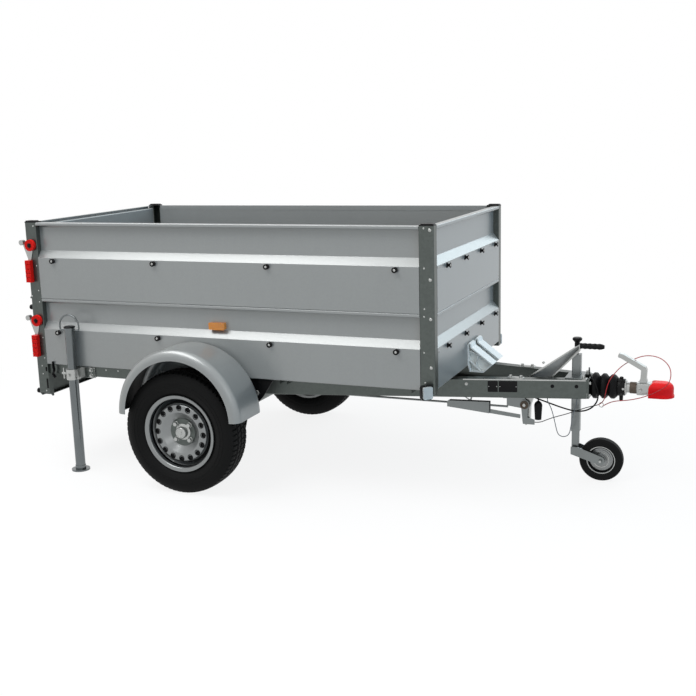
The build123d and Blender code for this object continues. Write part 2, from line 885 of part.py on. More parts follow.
# Overrun housing: end plate across the beams with the nose that the bellows sits on
with BuildPart() as overrun_housing:
    with BuildSketch(Plane.YZ.offset(beam_front_x)):
        with Locations((0, (beam_bottom_z + beam_top_z) / 2)):
            RectangleRounded(2 * (beam_front_y - housing_inset), beam_height, housing_plate)
    extrude(amount=housing_plate)
    with BuildSketch(Plane.YZ.offset(bellows_x)):
        with Locations((0, tow_z)):
            Circle(housing_nose_r)
            Circle(shaft_r + shaft_gap, mode=Mode.SUBTRACT)
    extrude(amount=housing_nose)
overrun_housing.part.label = "overrun_housing"
export_step(overrun_housing.part, "parts/overrun_housing.step")

# Rubber bellows: folds turned about the tow shaft, smaller towards the coupling
with BuildPart() as bellows:
    fold = bellows_length / bellows_folds
    bellows_inner_r = housing_nose_r + seat_gap
    with BuildSketch(Plane.XZ):
        with BuildLine():
            crests = [(bellows_x, tow_z + bellows_valley_r)]
            for i in range(bellows_folds):
                crest_x = bellows_x + (i + 0.5) * fold
                crest_z = tow_z + bellows_r - i * bellows_taper
                crests.append((crest_x - bellows_crest, crest_z))
                crests.append((crest_x + bellows_crest, crest_z))
                crests.append((bellows_x + (i + 1) * fold, tow_z + bellows_valley_r))
            Polyline(
                (bellows_x, tow_z + bellows_inner_r),
                *crests,
                (bellows_x + bellows_length, tow_z + bellows_inner_r),
                close=True,
            )
        make_face()
    revolve(axis=Axis((0, 0, tow_z), (1, 0, 0)))
    rounds = bellows.edges().filter_by(GeomType.CIRCLE).filter_by(lambda e: e.radius > bellows_valley_r + 1)
    fillet(rounds, bellows_crest - 1)
bellows.part.label = "bellows"
export_step(bellows.part, "parts/bellows.step")

# Tow shaft with the clamp collar behind the coupling
with BuildPart() as tow_shaft:
    with BuildSketch(Plane.YZ.offset(bellows_x)):
        with Locations((0, tow_z)):
            Circle(shaft_r)
    extrude(amount=coupling_rear_x - bellows_x)
    with BuildSketch(Plane.YZ.offset(collar_x)):
        with Locations((0, tow_z)):
            Circle(collar_r)
    extrude(amount=collar_length)
    collar_rims = tow_shaft.edges().filter_by(GeomType.CIRCLE).filter_by(lambda e: e.radius > shaft_r + 1)
    fillet(collar_rims, collar_edge_r)
tow_shaft.part.label = "tow_shaft"
export_step(tow_shaft.part, "parts/tow_shaft.step")

# Coupling head: round neck, pressed body with soft edges, and the cup that drops over the tow ball
cup_r = ball_r + ball_wall
body_x = coupling_rear_x + coupling_neck_length
with BuildPart() as coupling_head:
    with BuildSketch(Plane.YZ.offset(body_x)):
        with Locations((0, tow_z)):
            Rectangle(coupling_width, coupling_height)
    extrude(amount=ball_x - body_x)
    fillet(coupling_head.edges().filter_by(Axis.X), coupling_edge_r)
    fillet(coupling_head.faces().sort_by(Axis.X)[0].edges(), coupling_edge_r / 2)
    with BuildSketch(Plane.YZ.offset(coupling_rear_x)):
        with Locations((0, tow_z)):
            Circle(coupling_neck / 2)
    extrude(amount=coupling_neck_length + coupling_edge_r)
    with BuildSketch(Plane.XY.offset(tow_z - socket_depth)):
        with Locations((ball_x, 0)):
            Circle(cup_r)
    extrude(amount=socket_depth)
    with Locations((ball_x, 0, tow_z)):
        Sphere(cup_r)
    with BuildSketch(Plane.XY.offset(tow_z - socket_depth - cup_r)):
        with Locations((ball_x, 0)):
            Circle(2 * cup_r)
    extrude(amount=cup_r, mode=Mode.SUBTRACT)
    with BuildSketch(Plane.XY.offset(tow_z - socket_depth)):
        with Locations((ball_x, 0)):
            Circle(ball_r)
    extrude(amount=socket_depth, mode=Mode.SUBTRACT)
    with Locations((ball_x, 0, tow_z)):
        Sphere(ball_r, mode=Mode.SUBTRACT)
coupling_head.part.label = "coupling_head"
export_step(coupling_head.part, "parts/coupling_head.step")

# Coupling handle: pressed channel that stands on the head and reaches back, open below
handle_foot_x = ball_x - handle_setback
handle_outline = (
    # forward of the foot, above the head
    (-22, 0),
    (-14, 20),
    (-12, 58),
    (-102, 108),
    (-116, 112),
    (-112, 130),
    (-92, 126),
    (8, 72),
    (14, 58),
    (12, 20),
    (18, 0),
)
with BuildPart() as coupling_handle:
    for shift, half_width, mode in (
        (0, handle_width / 2, Mode.ADD),
        (handle_wall, handle_width / 2 - handle_wall, Mode.SUBTRACT),
    ):
        with BuildSketch(Plane.XZ):
            with BuildLine():
                FilletPolyline(
                    *[(handle_foot_x + x - shift, head_top_z + z - shift) for x, z in handle_outline],
                    radius=handle_bend_r,
                    close=True,
                )
            make_face()
            if shift == 0:
                with Locations((handle_foot_x, head_top_z + handle_bend_r)):
                    Rectangle(handle_width, 2 * handle_bend_r)
        extrude(amount=half_width, both=True, mode=mode)
coupling_handle.part.label = "coupling_handle"
export_step(coupling_handle.part, "parts/coupling_handle.step")

# Soft bumper pushed over the coupling's nose
bumper_front_x = ball_x + bumper_reach
bumper_rear_x = ball_x - bumper_back
bumper_bottom_z = tow_z - bumper_drop
bumper_height = bumper_drop + bumper_rise
nose_x = bumper_front_x - bumper_r
with BuildPart() as bumper_cap:
    for radius, height in ((bumper_r, bumper_lip_height), (bumper_r - bumper_lip, bumper_height)):
        with BuildSketch(Plane.XY.offset(bumper_bottom_z)):
            with Locations((nose_x, 0)):
                Circle(radius)
            with Locations(((bumper_rear_x + nose_x) / 2, 0)):
                Rectangle(nose_x - bumper_rear_x, 2 * radius)
        extrude(amount=height)
    fillet(bumper_cap.faces().sort_by(Axis.Z)[-1].edges(), bumper_dome)
    with BuildSketch(Plane.XY.offset(bumper_bottom_z)):
        with Locations((ball_x, 0)):
            Circle(cup_r + bumper_gap)
        with Locations(((bumper_rear_x + ball_x) / 2, 0)):
            Rectangle(ball_x - bumper_rear_x, 2 * (cup_r + bumper_gap))
    extrude(amount=coupling_height / 2 + bumper_gap + bumper_drop, mode=Mode.SUBTRACT)
    with Locations((ball_x, 0, tow_z)):
        Sphere(cup_r + bumper_gap, mode=Mode.SUBTRACT)
bumper_cap.part.label = "bumper_cap"
export_step(bumper_cap.part, "parts/bumper_cap.step")

# Jockey guide: square socket through the drawbar, with a foot that rests on both beams
socket_hole = tube_side + 2 * socket_gap
socket_side = socket_hole + 2 * socket_wall
with BuildPart() as jockey_guide:
    with BuildSketch(Plane.XY.offset(beam_bottom_z - socket_drop)):
        with Locations((jockey_x, jockey_y)):
            Rectangle(socket_side, socket_side)
    extrude(amount=beam_height + socket_drop + socket_plate)
    with BuildSketch(Plane.XY.offset(beam_top_z)):
        with Locations((jockey_x, 0)):
            Rectangle(socket_side + 2 * socket_foot, 2 * beam_front_y)
    extrude(amount=socket_plate)
    with BuildSketch(Plane.XY.offset(beam_bottom_z - socket_drop)):
        with Locations((jockey_x, jockey_y)):
            Rectangle(socket_hole, socket_hole)
    extrude(amount=beam_height + socket_drop + socket_plate, mode=Mode.SUBTRACT)
jockey_guide.part.label = "jockey_guide"
export_step(jockey_guide.part, "parts/jockey_guide.step")

# Jockey leg: square tube with a narrower leg below it, the fork and its axle pin
fork_y = jockey_width / 2 + fork_gap
with BuildPart() as jockey_leg:
    for side_length, bottom_z, top_z in (
        (tube_side, tube_bottom_z, tube_top_z),
        (leg_side, leg_bottom_z, tube_bottom_z),
    ):
        with BuildSketch(Plane.XY.offset(bottom_z)):
            with Locations((jockey_x, jockey_y)):
                RectangleRounded(side_length, side_length, tube_edge_r)
        extrude(amount=top_z - bottom_z)
    with BuildSketch(Plane.XY.offset(leg_bottom_z)):
        with Locations((jockey_x - fork_bridge / 2, jockey_y)):
            Rectangle(leg_side - fork_bridge, 2 * (fork_y + fork_wall))
    extrude(amount=fork_bridge)
    for side in (-1, 1):
        with BuildSketch(Plane.XZ.offset(-jockey_y + side * (fork_y + fork_wall / 2))):
            with Locations((jockey_hub_x, jockey_r)):
                Circle(fork_eye_r)
            with Locations((jockey_x, leg_bottom_z + fork_height / 2)):
                Rectangle(leg_side, fork_height)
            make_hull()
        extrude(amount=fork_wall / 2, both=True)
    with BuildSketch(Plane.XZ.offset(-jockey_y)):
        with Locations((jockey_hub_x, jockey_r)):
            Circle(jockey_pin_r)
    extrude(amount=fork_y + fork_wall + pin_end, both=True)
jockey_leg.part.label = "jockey_leg"
export_step(jockey_leg.part, "parts/jockey_leg.step")

# Crank knob on top of the jockey tube
knob_top_z = tube_top_z + knob_height
with BuildPart() as jockey_knob:
    with BuildSketch(Plane.XZ.offset(-jockey_y)):
        with BuildLine():
            Polyline(
                (jockey_x, tube_top_z),
                (jockey_x + knob_stem_r, tube_top_z),
                (jockey_x + knob_stem_r, knob_top_z - 2 * knob_r),
                (jockey_x + knob_neck_r, knob_top_z - 2 * knob_r),
                (jockey_x + knob_neck_r, knob_top_z - knob_r),
                (jockey_x + knob_r, knob_top_z - knob_r / 2),
                (jockey_x + knob_r, knob_top_z - fold_r),
                (jockey_x + knob_r - fold_r, knob_top_z),
                (jockey_x, knob_top_z),
                close=True,
            )
        make_face()
    revolve(axis=Axis((jockey_x, jockey_y, 0), (0, 0, 1)))
jockey_knob.part.label = "jockey_knob"
export_step(jockey_knob.part, "parts/jockey_knob.step")

# Jockey wheel: stepped rim and solid tyre
rim_steps = (
    # outer radius, inner radius, half width
    (jockey_rim_r, jockey_rim_r - jockey_rim_wall, jockey_width / 2 - jockey_rim_inset),
    (jockey_rim_r, jockey_pin_r + hinge_fit, jockey_web / 2),
    ((jockey_rim_r + jockey_hub_r) / 2, jockey_pin_r + hinge_fit, jockey_web),
    (jockey_hub_r, jockey_pin_r + hinge_fit, jockey_width / 2),
)
with BuildPart() as jockey_rim:
    for outer_r, inner_r, half_width in rim_steps:
        with BuildSketch(Plane.XZ.offset(-jockey_y)):
            with Locations((jockey_hub_x, jockey_r)):
                Circle(outer_r)
                Circle(inner_r, mode=Mode.SUBTRACT)
        extrude(amount=half_width, both=True)
jockey_rim.part.label = "jockey_rim"
export_step(jockey_rim.part, "parts/jockey_rim.step")

with BuildPart() as jockey_tyre:
    with BuildSketch(Plane.XZ.offset(-jockey_y)):
        with Locations((jockey_hub_x, jockey_r)):
            Circle(jockey_r)
            Circle(jockey_rim_r + seat_gap, mode=Mode.SUBTRACT)
    extrude(amount=jockey_width / 2, both=True)
    outer_edges = jockey_tyre.edges().filter_by(GeomType.CIRCLE).filter_by(lambda e: e.radius > jockey_r - 1)
    fillet(outer_edges, jockey_tread_r)
jockey_tyre.part.label = "jockey_tyre"
export_step(jockey_tyre.part, "parts/jockey_tyre.step")

# Handbrake bracket: two cheeks, the strap that hangs them under the beams, and the cable guide
cheek_y = lever_width / 2 + lever_gap
strap_y = beam_front_y + (beam_front_x - pivot_x) * beam_spread
with BuildPart() as brake_bracket:
    for side in (-1, 1):
        with BuildSketch(Plane.XZ.offset(-lever_y + side * (cheek_y + bracket_wall / 2))):
            with BuildLine():
                Polyline(
                    (pivot_x - bracket_reach, beam_bottom_z),
                    (pivot_x - 20, beam_bottom_z),
                    (pivot_x + 18, pivot_z + 12),
                    (pivot_x + 18, pivot_z - 18),
                    (pivot_x - 18, pivot_z - 18),
                    (pivot_x - bracket_reach, pivot_z - 10),
                    close=True,
                )
            make_face()
        extrude(amount=bracket_wall / 2, both=True)
    with BuildSketch(Plane.XZ.offset(-lever_y + cheek_y + bracket_wall / 2)):
        with BuildLine():
            Polyline(
                (pivot_x - 16, pivot_z - 10),
                (pivot_x + 16, pivot_z - 10),
                (pivot_x + 14, pivot_z - 62),
                (pivot_x + guide_reach, pivot_z - guide_drop + 24),
                (pivot_x + guide_reach, pivot_z - guide_drop),
                (pivot_x - 8, pivot_z - guide_drop),
                close=True,
            )
        make_face()
    extrude(amount=bracket_wall / 2, both=True)
    with BuildSketch(Plane.XZ.offset(-lever_y)):
        with Locations((pivot_x, pivot_z)):
            Circle(pivot_r)
    extrude(amount=cheek_y + bracket_wall, both=True)
    for side in (-1, 1):
        with BuildSketch(Plane.XZ.offset(-lever_y + side * (cheek_y + bracket_wall + washer_height / 2))):
            with Locations((pivot_x, pivot_z)):
                Circle(washer_r)
        extrude(amount=washer_height / 2, both=True)
    with Locations((pivot_x - bracket_reach + bracket_strap / 2, 0, beam_bottom_z - bracket_wall / 2)):
        Box(bracket_strap, 2 * strap_y, bracket_wall)
brake_bracket.part.label = "brake_bracket"
export_step(brake_bracket.part, "parts/brake_bracket.step")

# Handbrake lever: pressed arm with a web and raised edges, and a short lower arm
grip_x = pivot_x + lever_reach
grip_z = pivot_z + lever_rise
root_z = pivot_z + lever_root_rise
with BuildPart() as handbrake_lever:
    with BuildSketch(Plane.XZ.offset(-lever_y)):
        with BuildLine():
            Polyline(
                (pivot_x - 20, pivot_z + 6),
                (pivot_x + 2, pivot_z + lever_shank),
                (pivot_x + 14, root_z),
                (grip_x, grip_z + 18),
                (grip_x, grip_z - 16),
                (pivot_x + lever_root_reach, root_z - 6),
                (pivot_x + 40, pivot_z + 40),
                (pivot_x + 24, pivot_z - 10),
                (pivot_x + 22, pivot_z - 92),
                (pivot_x + 4, pivot_z - 102),
                (pivot_x - 12, pivot_z - 88),
                (pivot_x - 20, pivot_z - 8),
                close=True,
            )
        make_face()
        with Locations((pivot_x, pivot_z)):
            Circle(pivot_r + hinge_fit, mode=Mode.SUBTRACT)
    extrude(amount=lever_width / 2, both=True)
    with BuildSketch(Plane.XZ.offset(-lever_y + lever_width / 2)):
        with BuildLine():
            Polyline(
                (pivot_x + 10, pivot_z + lever_shank),
                (pivot_x + 20, root_z - 2),
                (grip_x - lever_flange, grip_z + 10),
                (grip_x - lever_flange, grip_z - 12),
                (pivot_x + lever_root_reach - lever_flange, root_z - 2),
                (pivot_x + lever_root_reach / 2 - 2, pivot_z + lever_root_rise / 2),
                close=True,
            )
        make_face()
    extrude(amount=lever_web - lever_width, mode=Mode.SUBTRACT)
handbrake_lever.part.label = "handbrake_lever"
export_step(handbrake_lever.part, "parts/handbrake_lever.step")

with BuildPart() as handbrake_grip:
    grip_plane = Plane(
        origin=(grip_x, lever_y, grip_z + 2 * fold_r),
        x_dir=(1, 0, 0),
        z_dir=(0, -1, 0),
    )
    wave = grip_length / (2 * grip_waves)
    with BuildSketch(grip_plane):
        with BuildLine():
            Polyline(
                (0, 0),
                *[(i * wave, grip_r - grip_wave * (i % 2)) for i in range(2 * grip_waves)],
                (grip_length, grip_r - 3 * grip_wave),
                (grip_length, 0),
                close=True,
            )
        make_face()
    revolve(axis=Axis((grip_x, lever_y, grip_z + 2 * fold_r), (1, 0, 0)))
handbrake_grip.part.label = "handbrake_grip"
export_step(handbrake_grip.part, "parts/handbrake_grip.step")

# Brake rod to the axle, with the channel that holds its spring and the flat link to the lever
store_rear_x = pivot_x - store_setback
store_front_x = store_rear_x + store_length
store_outline = (
    # along the store, above the rod
    (0, -18),
    (0, 8),
    (10, 12),
    (store_length, 18),
    (store_length, -37),
)
with BuildPart() as brake_rod:
    for inset, half_width, mode in (
        (0, lever_width / 2, Mode.ADD),
        (2 * store_wall, lever_width / 2 - store_wall, Mode.SUBTRACT),
    ):
        with BuildSketch(Plane.XZ.offset(-lever_y)):
            with BuildLine():
                Polyline(
                    *[(store_rear_x + along + inset, rod_z + up + inset) for along, up in store_outline],
                    close=True,
                )
            make_face()
        extrude(amount=half_width, both=True, mode=mode)
    with BuildSketch(Plane.YZ.offset(axle_tube_x + yoke_reach)):
        with Locations((lever_y, rod_z)):
            Circle(rod_r)
    extrude(amount=pivot_x - bracket_reach - axle_tube_x - yoke_reach)
    with BuildSketch(Plane.XZ.offset(-lever_y)):
        with BuildLine():
            Polyline(
                (store_front_x - link_height, rod_z - 37),
                (store_front_x - link_height, rod_z - 37 + link_height),
                (store_front_x, rod_z - 37 + link_height),
                (pivot_x - link_gap, rod_z - 35),
                (pivot_x - link_gap, rod_z - 35 - link_height),
                close=True,
            )
        make_face()
    extrude(amount=link_thickness / 2, both=True)
brake_rod.part.label = "brake_rod"
export_step(brake_rod.part, "parts/brake_rod.step")

# Rear prop stands: capped tube with a foot and a wire bail, sliding in a clamp on the side rail
stand_steps = (
    # radius, bottom, top
    (stand_foot_r, 0, stand_foot_height),
    (stand_cap_r, stand_foot_height, stand_neck_height),
    (stand_r, stand_neck_height, stand_top_z),
    (stand_cap_r, stand_top_z - stand_cap_height, stand_top_z),
)
bail_z = stand_top_z + bail_rise
bail_tip = radians(bail_open)
with BuildPart() as stand_right:
    for radius, bottom_z, top_z in stand_steps:
        with BuildSketch(Plane.XY.offset(bottom_z)):
            with Locations((stand_x, -stand_y)):
                Circle(radius)
        extrude(amount=top_z - bottom_z)
    bail_plane = Plane(
        origin=(stand_x, 0, bail_z),
        x_dir=(cos(bail_tip), 0, -sin(bail_tip)),
        z_dir=(sin(bail_tip), 0, cos(bail_tip)),
    )
    with BuildSketch(bail_plane):
        with Locations((bail_r, -stand_y)):
            Circle(bail_wire_r)
    revolve(axis=Axis((stand_x, -stand_y, bail_z), (0, -1, 0)), revolution_arc=180 + 2 * bail_open)
    with BuildSketch(Plane.YZ.offset(stand_x)):
        with Locations((-stand_y, bail_z - bail_r * sin(bail_tip))):
            Circle(bail_wire_r)
    extrude(amount=bail_r * cos(bail_tip), both=True)
with BuildPart() as stand_left:
    mirror(stand_right.part, about=Plane.XZ)
for stand, name in ((stand_right, "stand_right"), (stand_left, "stand_left")):
    stand.part.label = name
    export_step(stand.part, f"parts/{name}.step")

clamp_r = stand_r + stand_fit + clamp_wall
clamp_middle_z = clamp_bottom_z + clamp_height / 2
with BuildPart() as stand_clamps:
    with BuildSketch(Plane.XY.offset(clamp_bottom_z)):
        with Locations((stand_x, -stand_y)):
            Circle(clamp_r)
        with Locations((stand_x, -(stand_y + rail_y) / 2)):
            Rectangle(2 * stand_r, stand_y - rail_y)
        with Locations((stand_x + (clamp_plate_reach - clamp_r) / 2, -rail_y - clamp_plate / 2)):
            Rectangle(clamp_plate_reach + clamp_r, clamp_plate)
        with Locations((stand_x, -stand_y)):
            Circle(stand_r + stand_fit, mode=Mode.SUBTRACT)
    extrude(amount=clamp_height)
    with BuildSketch(Plane.YZ.offset(stand_x - clamp_r + clamp_wall / 2)):
        with Locations((-stand_y, clamp_middle_z)):
            Circle(screw_r)
    extrude(amount=-screw_length)
    with BuildSketch(Plane.XY.offset(clamp_middle_z - wing_length / 2)):
        with Locations((stand_x - clamp_r - screw_length + 3 * wing_r, -stand_y)):
            Circle(wing_r)
    extrude(amount=wing_length)
    mirror(about=Plane.XZ)
stand_clamps.part.label = "stand_clamps"
export_step(stand_clamps.part, "parts/stand_clamps.step")

# Toggle latches on the rear posts: plate with its hook and pad, then the red ring and handle
latch_x = box_rear_x + latch_inset
pad_x = box_rear_x - latch_pad_r
handle_x = latch_x - latch_handle_width / 2
latch_heights = (box_top_z - latch_drop, split_z - latch_drop)
with BuildPart() as latch_plates:
    for latch_z in latch_heights:
        pad_z = latch_z + latch_pad_r
        with BuildSketch(Plane.XZ.offset(box_side_y)):
            with Locations((latch_x, latch_z)):
                Circle(latch_ring_bore)
            with Locations((handle_x, latch_z - latch_handle_drop + latch_pad_r)):
                Rectangle(latch_handle_width / 2, 2 * latch_pad_r)
            with Locations((pad_x, pad_z)):
                Circle(latch_hook_r)
            make_hull()
        extrude(amount=latch_plate)
        for place_x, place_z, radius, reach in (
            (pad_x, pad_z, latch_pad_r, latch_hook_reach),
            (latch_x, latch_z, latch_hook_r, latch_plate + latch_ring_depth),
        ):
            with BuildSketch(Plane.XZ.offset(box_side_y)):
                with Locations((place_x, place_z)):
                    Circle(radius)
            extrude(amount=reach)
    mirror(about=Plane.XZ)
latch_plates.part.label = "latch_plates"
export_step(latch_plates.part, "parts/latch_plates.step")

with BuildPart() as latch_handles:
    for latch_z in latch_heights:
        handle_top_z = latch_z - latch_handle_drop
        with BuildSketch(Plane.XZ.offset(box_side_y + latch_plate)):
            with Locations((latch_x, latch_z)):
                Circle(latch_ring_r)
                Circle(latch_ring_bore, mode=Mode.SUBTRACT)
        extrude(amount=latch_ring_depth)
        with BuildSketch(Plane.XY.offset(handle_top_z)):
            with Locations((handle_x, right_side_y - latch_handle_depth / 2)):
                RectangleRounded(latch_handle_width, latch_handle_depth, latch_handle_edge_r)
        extrude(amount=-latch_handle_length)
        for i in range(latch_grooves):
            groove_z = handle_top_z - latch_handle_length * (i + 1) / (latch_grooves + 1)
            with BuildSketch(Plane.YZ.offset(handle_x)):
                with Locations((right_side_y - latch_handle_depth, groove_z)):
                    Circle(latch_groove_r)
            extrude(amount=latch_handle_width, both=True, mode=Mode.SUBTRACT)
    mirror(about=Plane.XZ)
latch_handles.part.label = "latch_handles"
export_step(latch_handles.part, "parts/latch_handles.step")

# Wheel chocks stowed on the front board: hollow mouldings with a web and ribs
chock_outline = (
    # forward of the front board, above its lower edge
    (0, 8),
    (0, 104),
    (7, 112),
    (17, 108),
    (20, 91),
    (122, 14),
    (78, -27),
    (10, -27),
)
chock_ribs = (
    # start and end of each rib, in the outline's terms
    ((4, 30), (62, -24)),
    ((8, 72), (74, 46)),
)
with BuildPart() as wheel_chocks:
    for side in (-1, 1):
        chock_plane = Plane.XZ.offset(side * (chock_gap + chock_width) / 2 - chock_y)
        outline = [(box_front_x + x, board_bottom_z + z) for x, z in chock_outline]
        with BuildSketch(chock_plane):
            with BuildLine():
                Polyline(*outline, close=True)
            make_face()
            offset(amount=-chock_wall, kind=Kind.INTERSECTION, mode=Mode.SUBTRACT)
        extrude(amount=chock_width / 2, both=True)
        with BuildSketch(chock_plane):
            with BuildLine():
                Polyline(*outline, close=True)
            make_face()
        extrude(amount=chock_web / 2, both=True)
        for start, end in chock_ribs:
            with BuildSketch(chock_plane):
                with Locations(*[(box_front_x + x, board_bottom_z + z) for x, z in (start, end)]):
                    Circle(chock_rib)
                make_hull()
            extrude(amount=chock_width / 2 - chock_wall, both=True)
wheel_chocks.part.label = "wheel_chocks"
export_step(wheel_chocks.part, "parts/wheel_chocks.step")

# Plug of the lamp lead, hanging under the near beam
plug_x = pivot_x + 67
plug_y = lever_y - lever_width / 2 - lever_gap - plug_r
plug_top_z = beam_bottom_z - 23
with BuildPart() as lamp_plug:
    with BuildSketch(Plane.XZ.offset(-plug_y)):
        with BuildLine():
            Polyline(
                (plug_x, plug_top_z),
                (plug_x + plug_neck_r / 2, plug_top_z),
                (plug_x + plug_r - fold_r, plug_top_z - 2 * fold_r),
                (plug_x + plug_r, plug_top_z - plug_r),
                (plug_x + plug_r - fold_r, plug_top_z - plug_length),
                (plug_x, plug_top_z - plug_length),
                close=True,
            )
        make_face()
    revolve(axis=Axis((plug_x, plug_y, 0), (0, 0, 1)))
lamp_plug.part.label = "lamp_plug"
export_step(lamp_plug.part, "parts/lamp_plug.step")

# Cords: straight runs joined by tangent arcs through the points of each route
cord_routes = (
    # name, radius, points from one held end to the other
    (
        "lamp_lead",
        lead_r,
        (
            (1144, 58, beam_top_z),
            (1144, 58, 508),
            (1145, 51, 520),
            (1147, 39, 527),
            (1150, 22, 527),
            (1154, -2, 522),
            (1160, -27, 513),
            (1172, -48, 501),
            (1188, -64, 483),
            (1202, -71, 456),
            (1207, -68, 424),
            (1200, -60, 391),
            (1178, -50, 361),
            (1144, -45, 341),
            (1100, -46, 337),
            (1050, -56, 350),
            (1000, -66, 368),
            (958, -69, 382),
            (925, -67, 391),
            (893, -66, 405),
            (874, -66, 430),
            (884, -67, 458),
            (912, -69, 462),
            (930, -69, 440),
            (935, -70, 414),
            (plug_x, plug_y, plug_top_z + 4 * lead_r),
            (plug_x, plug_y, plug_top_z),
        ),
    ),
    (
        "breakaway_cable",
        wire_r,
        (
            (pivot_x + guide_reach, lever_y - cheek_y - bracket_wall / 2, 274),
            (940, -61.5, 274),
            (972, -61, 290),
            (1008, -57, 305),
            (1060, -44, 320),
            (1112, -33, 340),
            (1166, -30, 361),
            (1206, -32, 372),
            (1230, -44, 398),
            (1238, -62, 438),
            (1248, -66, 486),
            (1266, -50, 518),
            (1290, -20, 546),
            (1313, 14, 562),
            (1342, 27, 578),
            (1374, 29, 594),
            (1408, 22, 603),
            (1446, 10, 603),
            (1480, -4, 592),
            (1508, -22, 567),
            (1518, -42, 536),
            (1512, -58, 502),
            (1494, -61, 480),
            (1460, -62, 458),
            (1420, -60, 436),
            (1370, -52, 416),
            (1322, -45, 404),
            (1280, -40, 398),
            (1244, -38, 384),
            (1222, -38, 368),
        ),
    ),
    (
        "brake_release_wire",
        wire_r,
        (
            (980, -90, beam_bottom_z),
            (980, -90, 387),
            (996, -87, 360),
            (1006, -84, 325),
            (1014, -82, 291),
            (1020, -80, 262),
            (1026, -78, 237),
            (1036, -75, 223),
            (1053, -71, 217.5),
            (1070, -67, 223),
            (1080, -64, 237),
            (1084, -63, 262),
            (1089, -62, 298),
            (1097, -62, 340),
            (1110, -62, 380),
            (1110, -62, beam_bottom_z),
        ),
    ),
)
for name, cord_r, route in cord_routes:
    runs = [Vector(*end) - Vector(*start) for start, end in zip(route, route[1:])]
    bends = [
        0.45 * min(before.length, after.length) / tan(radians(before.get_angle(after) / 2))
        for before, after in zip(runs, runs[1:])
    ]
    with BuildPart() as cord:
        with BuildLine() as path:
            FilletPolyline(*route, radius=bends)
        with BuildSketch(Plane(origin=route[0], z_dir=runs[0])):
            Circle(cord_r)
        sweep()
    cord_length = sum(edge.length for edge in path.edges())
    print(name, f"length {cord_length:.0f}, least bend {min(bends):.1f}, volume {cord.part.volume:.0f}")
    cord.part.label = name
    export_step(cord.part, f"parts/{name}.step")
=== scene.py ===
"""Looks of a galvanised box trailer: finishes, trim and cords round its CAD frame, and a pale studio."""

import json
from math import cos, pi, radians, sin, sqrt, tau

import bmesh
import bpy
from bpy.props import FloatProperty, FloatVectorProperty, IntProperty, PointerProperty
from mathutils import Matrix, Vector


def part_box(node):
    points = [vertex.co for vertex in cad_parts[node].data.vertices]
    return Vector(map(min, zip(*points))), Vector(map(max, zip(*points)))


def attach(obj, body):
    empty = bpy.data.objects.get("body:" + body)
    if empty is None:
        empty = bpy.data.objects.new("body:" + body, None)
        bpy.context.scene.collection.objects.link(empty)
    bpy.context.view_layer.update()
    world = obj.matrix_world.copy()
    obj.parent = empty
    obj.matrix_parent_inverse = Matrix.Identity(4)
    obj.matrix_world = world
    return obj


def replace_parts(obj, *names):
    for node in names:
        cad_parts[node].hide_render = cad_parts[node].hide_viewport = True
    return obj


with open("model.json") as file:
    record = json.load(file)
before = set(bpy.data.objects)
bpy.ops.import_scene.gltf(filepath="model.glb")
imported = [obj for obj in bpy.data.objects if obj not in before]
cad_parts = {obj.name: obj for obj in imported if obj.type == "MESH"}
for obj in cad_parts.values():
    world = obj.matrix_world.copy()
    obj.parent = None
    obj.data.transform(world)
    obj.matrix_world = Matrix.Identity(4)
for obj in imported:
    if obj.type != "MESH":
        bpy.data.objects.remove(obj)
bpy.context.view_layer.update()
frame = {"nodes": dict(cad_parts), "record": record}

bl_info = {
    "name": "Box trailer looks",
    "version": (1, 0, 0),
    "blender": (4, 5, 0),
    "location": "3D View > Sidebar > Trailer",
    "description": "Finishes, trim and cords of a box trailer, with a pale studio",
    "category": "Object",
}

# Shader helpers


class Socket:
    """An output socket that takes part in arithmetic."""

    def __init__(self, graph, output):
        self.graph = graph
        self.output = output

    def sibling(self, name):
        """Another output of the same node."""
        return Socket(self.graph, self.output.node.outputs[name])

    def _math(self, operation, first, second):
        return self.graph.node("ShaderNodeMath", {"operation": operation}, {0: first, 1: second})

    def __add__(self, other):
        return self._math("ADD", self, other)

    def __radd__(self, other):
        return self._math("ADD", other, self)

    def __sub__(self, other):
        return self._math("SUBTRACT", self, other)

    def __rsub__(self, other):
        return self._math("SUBTRACT", other, self)

    def __mul__(self, other):
        return self._math("MULTIPLY", self, other)

    def __rmul__(self, other):
        return self._math("MULTIPLY", other, self)


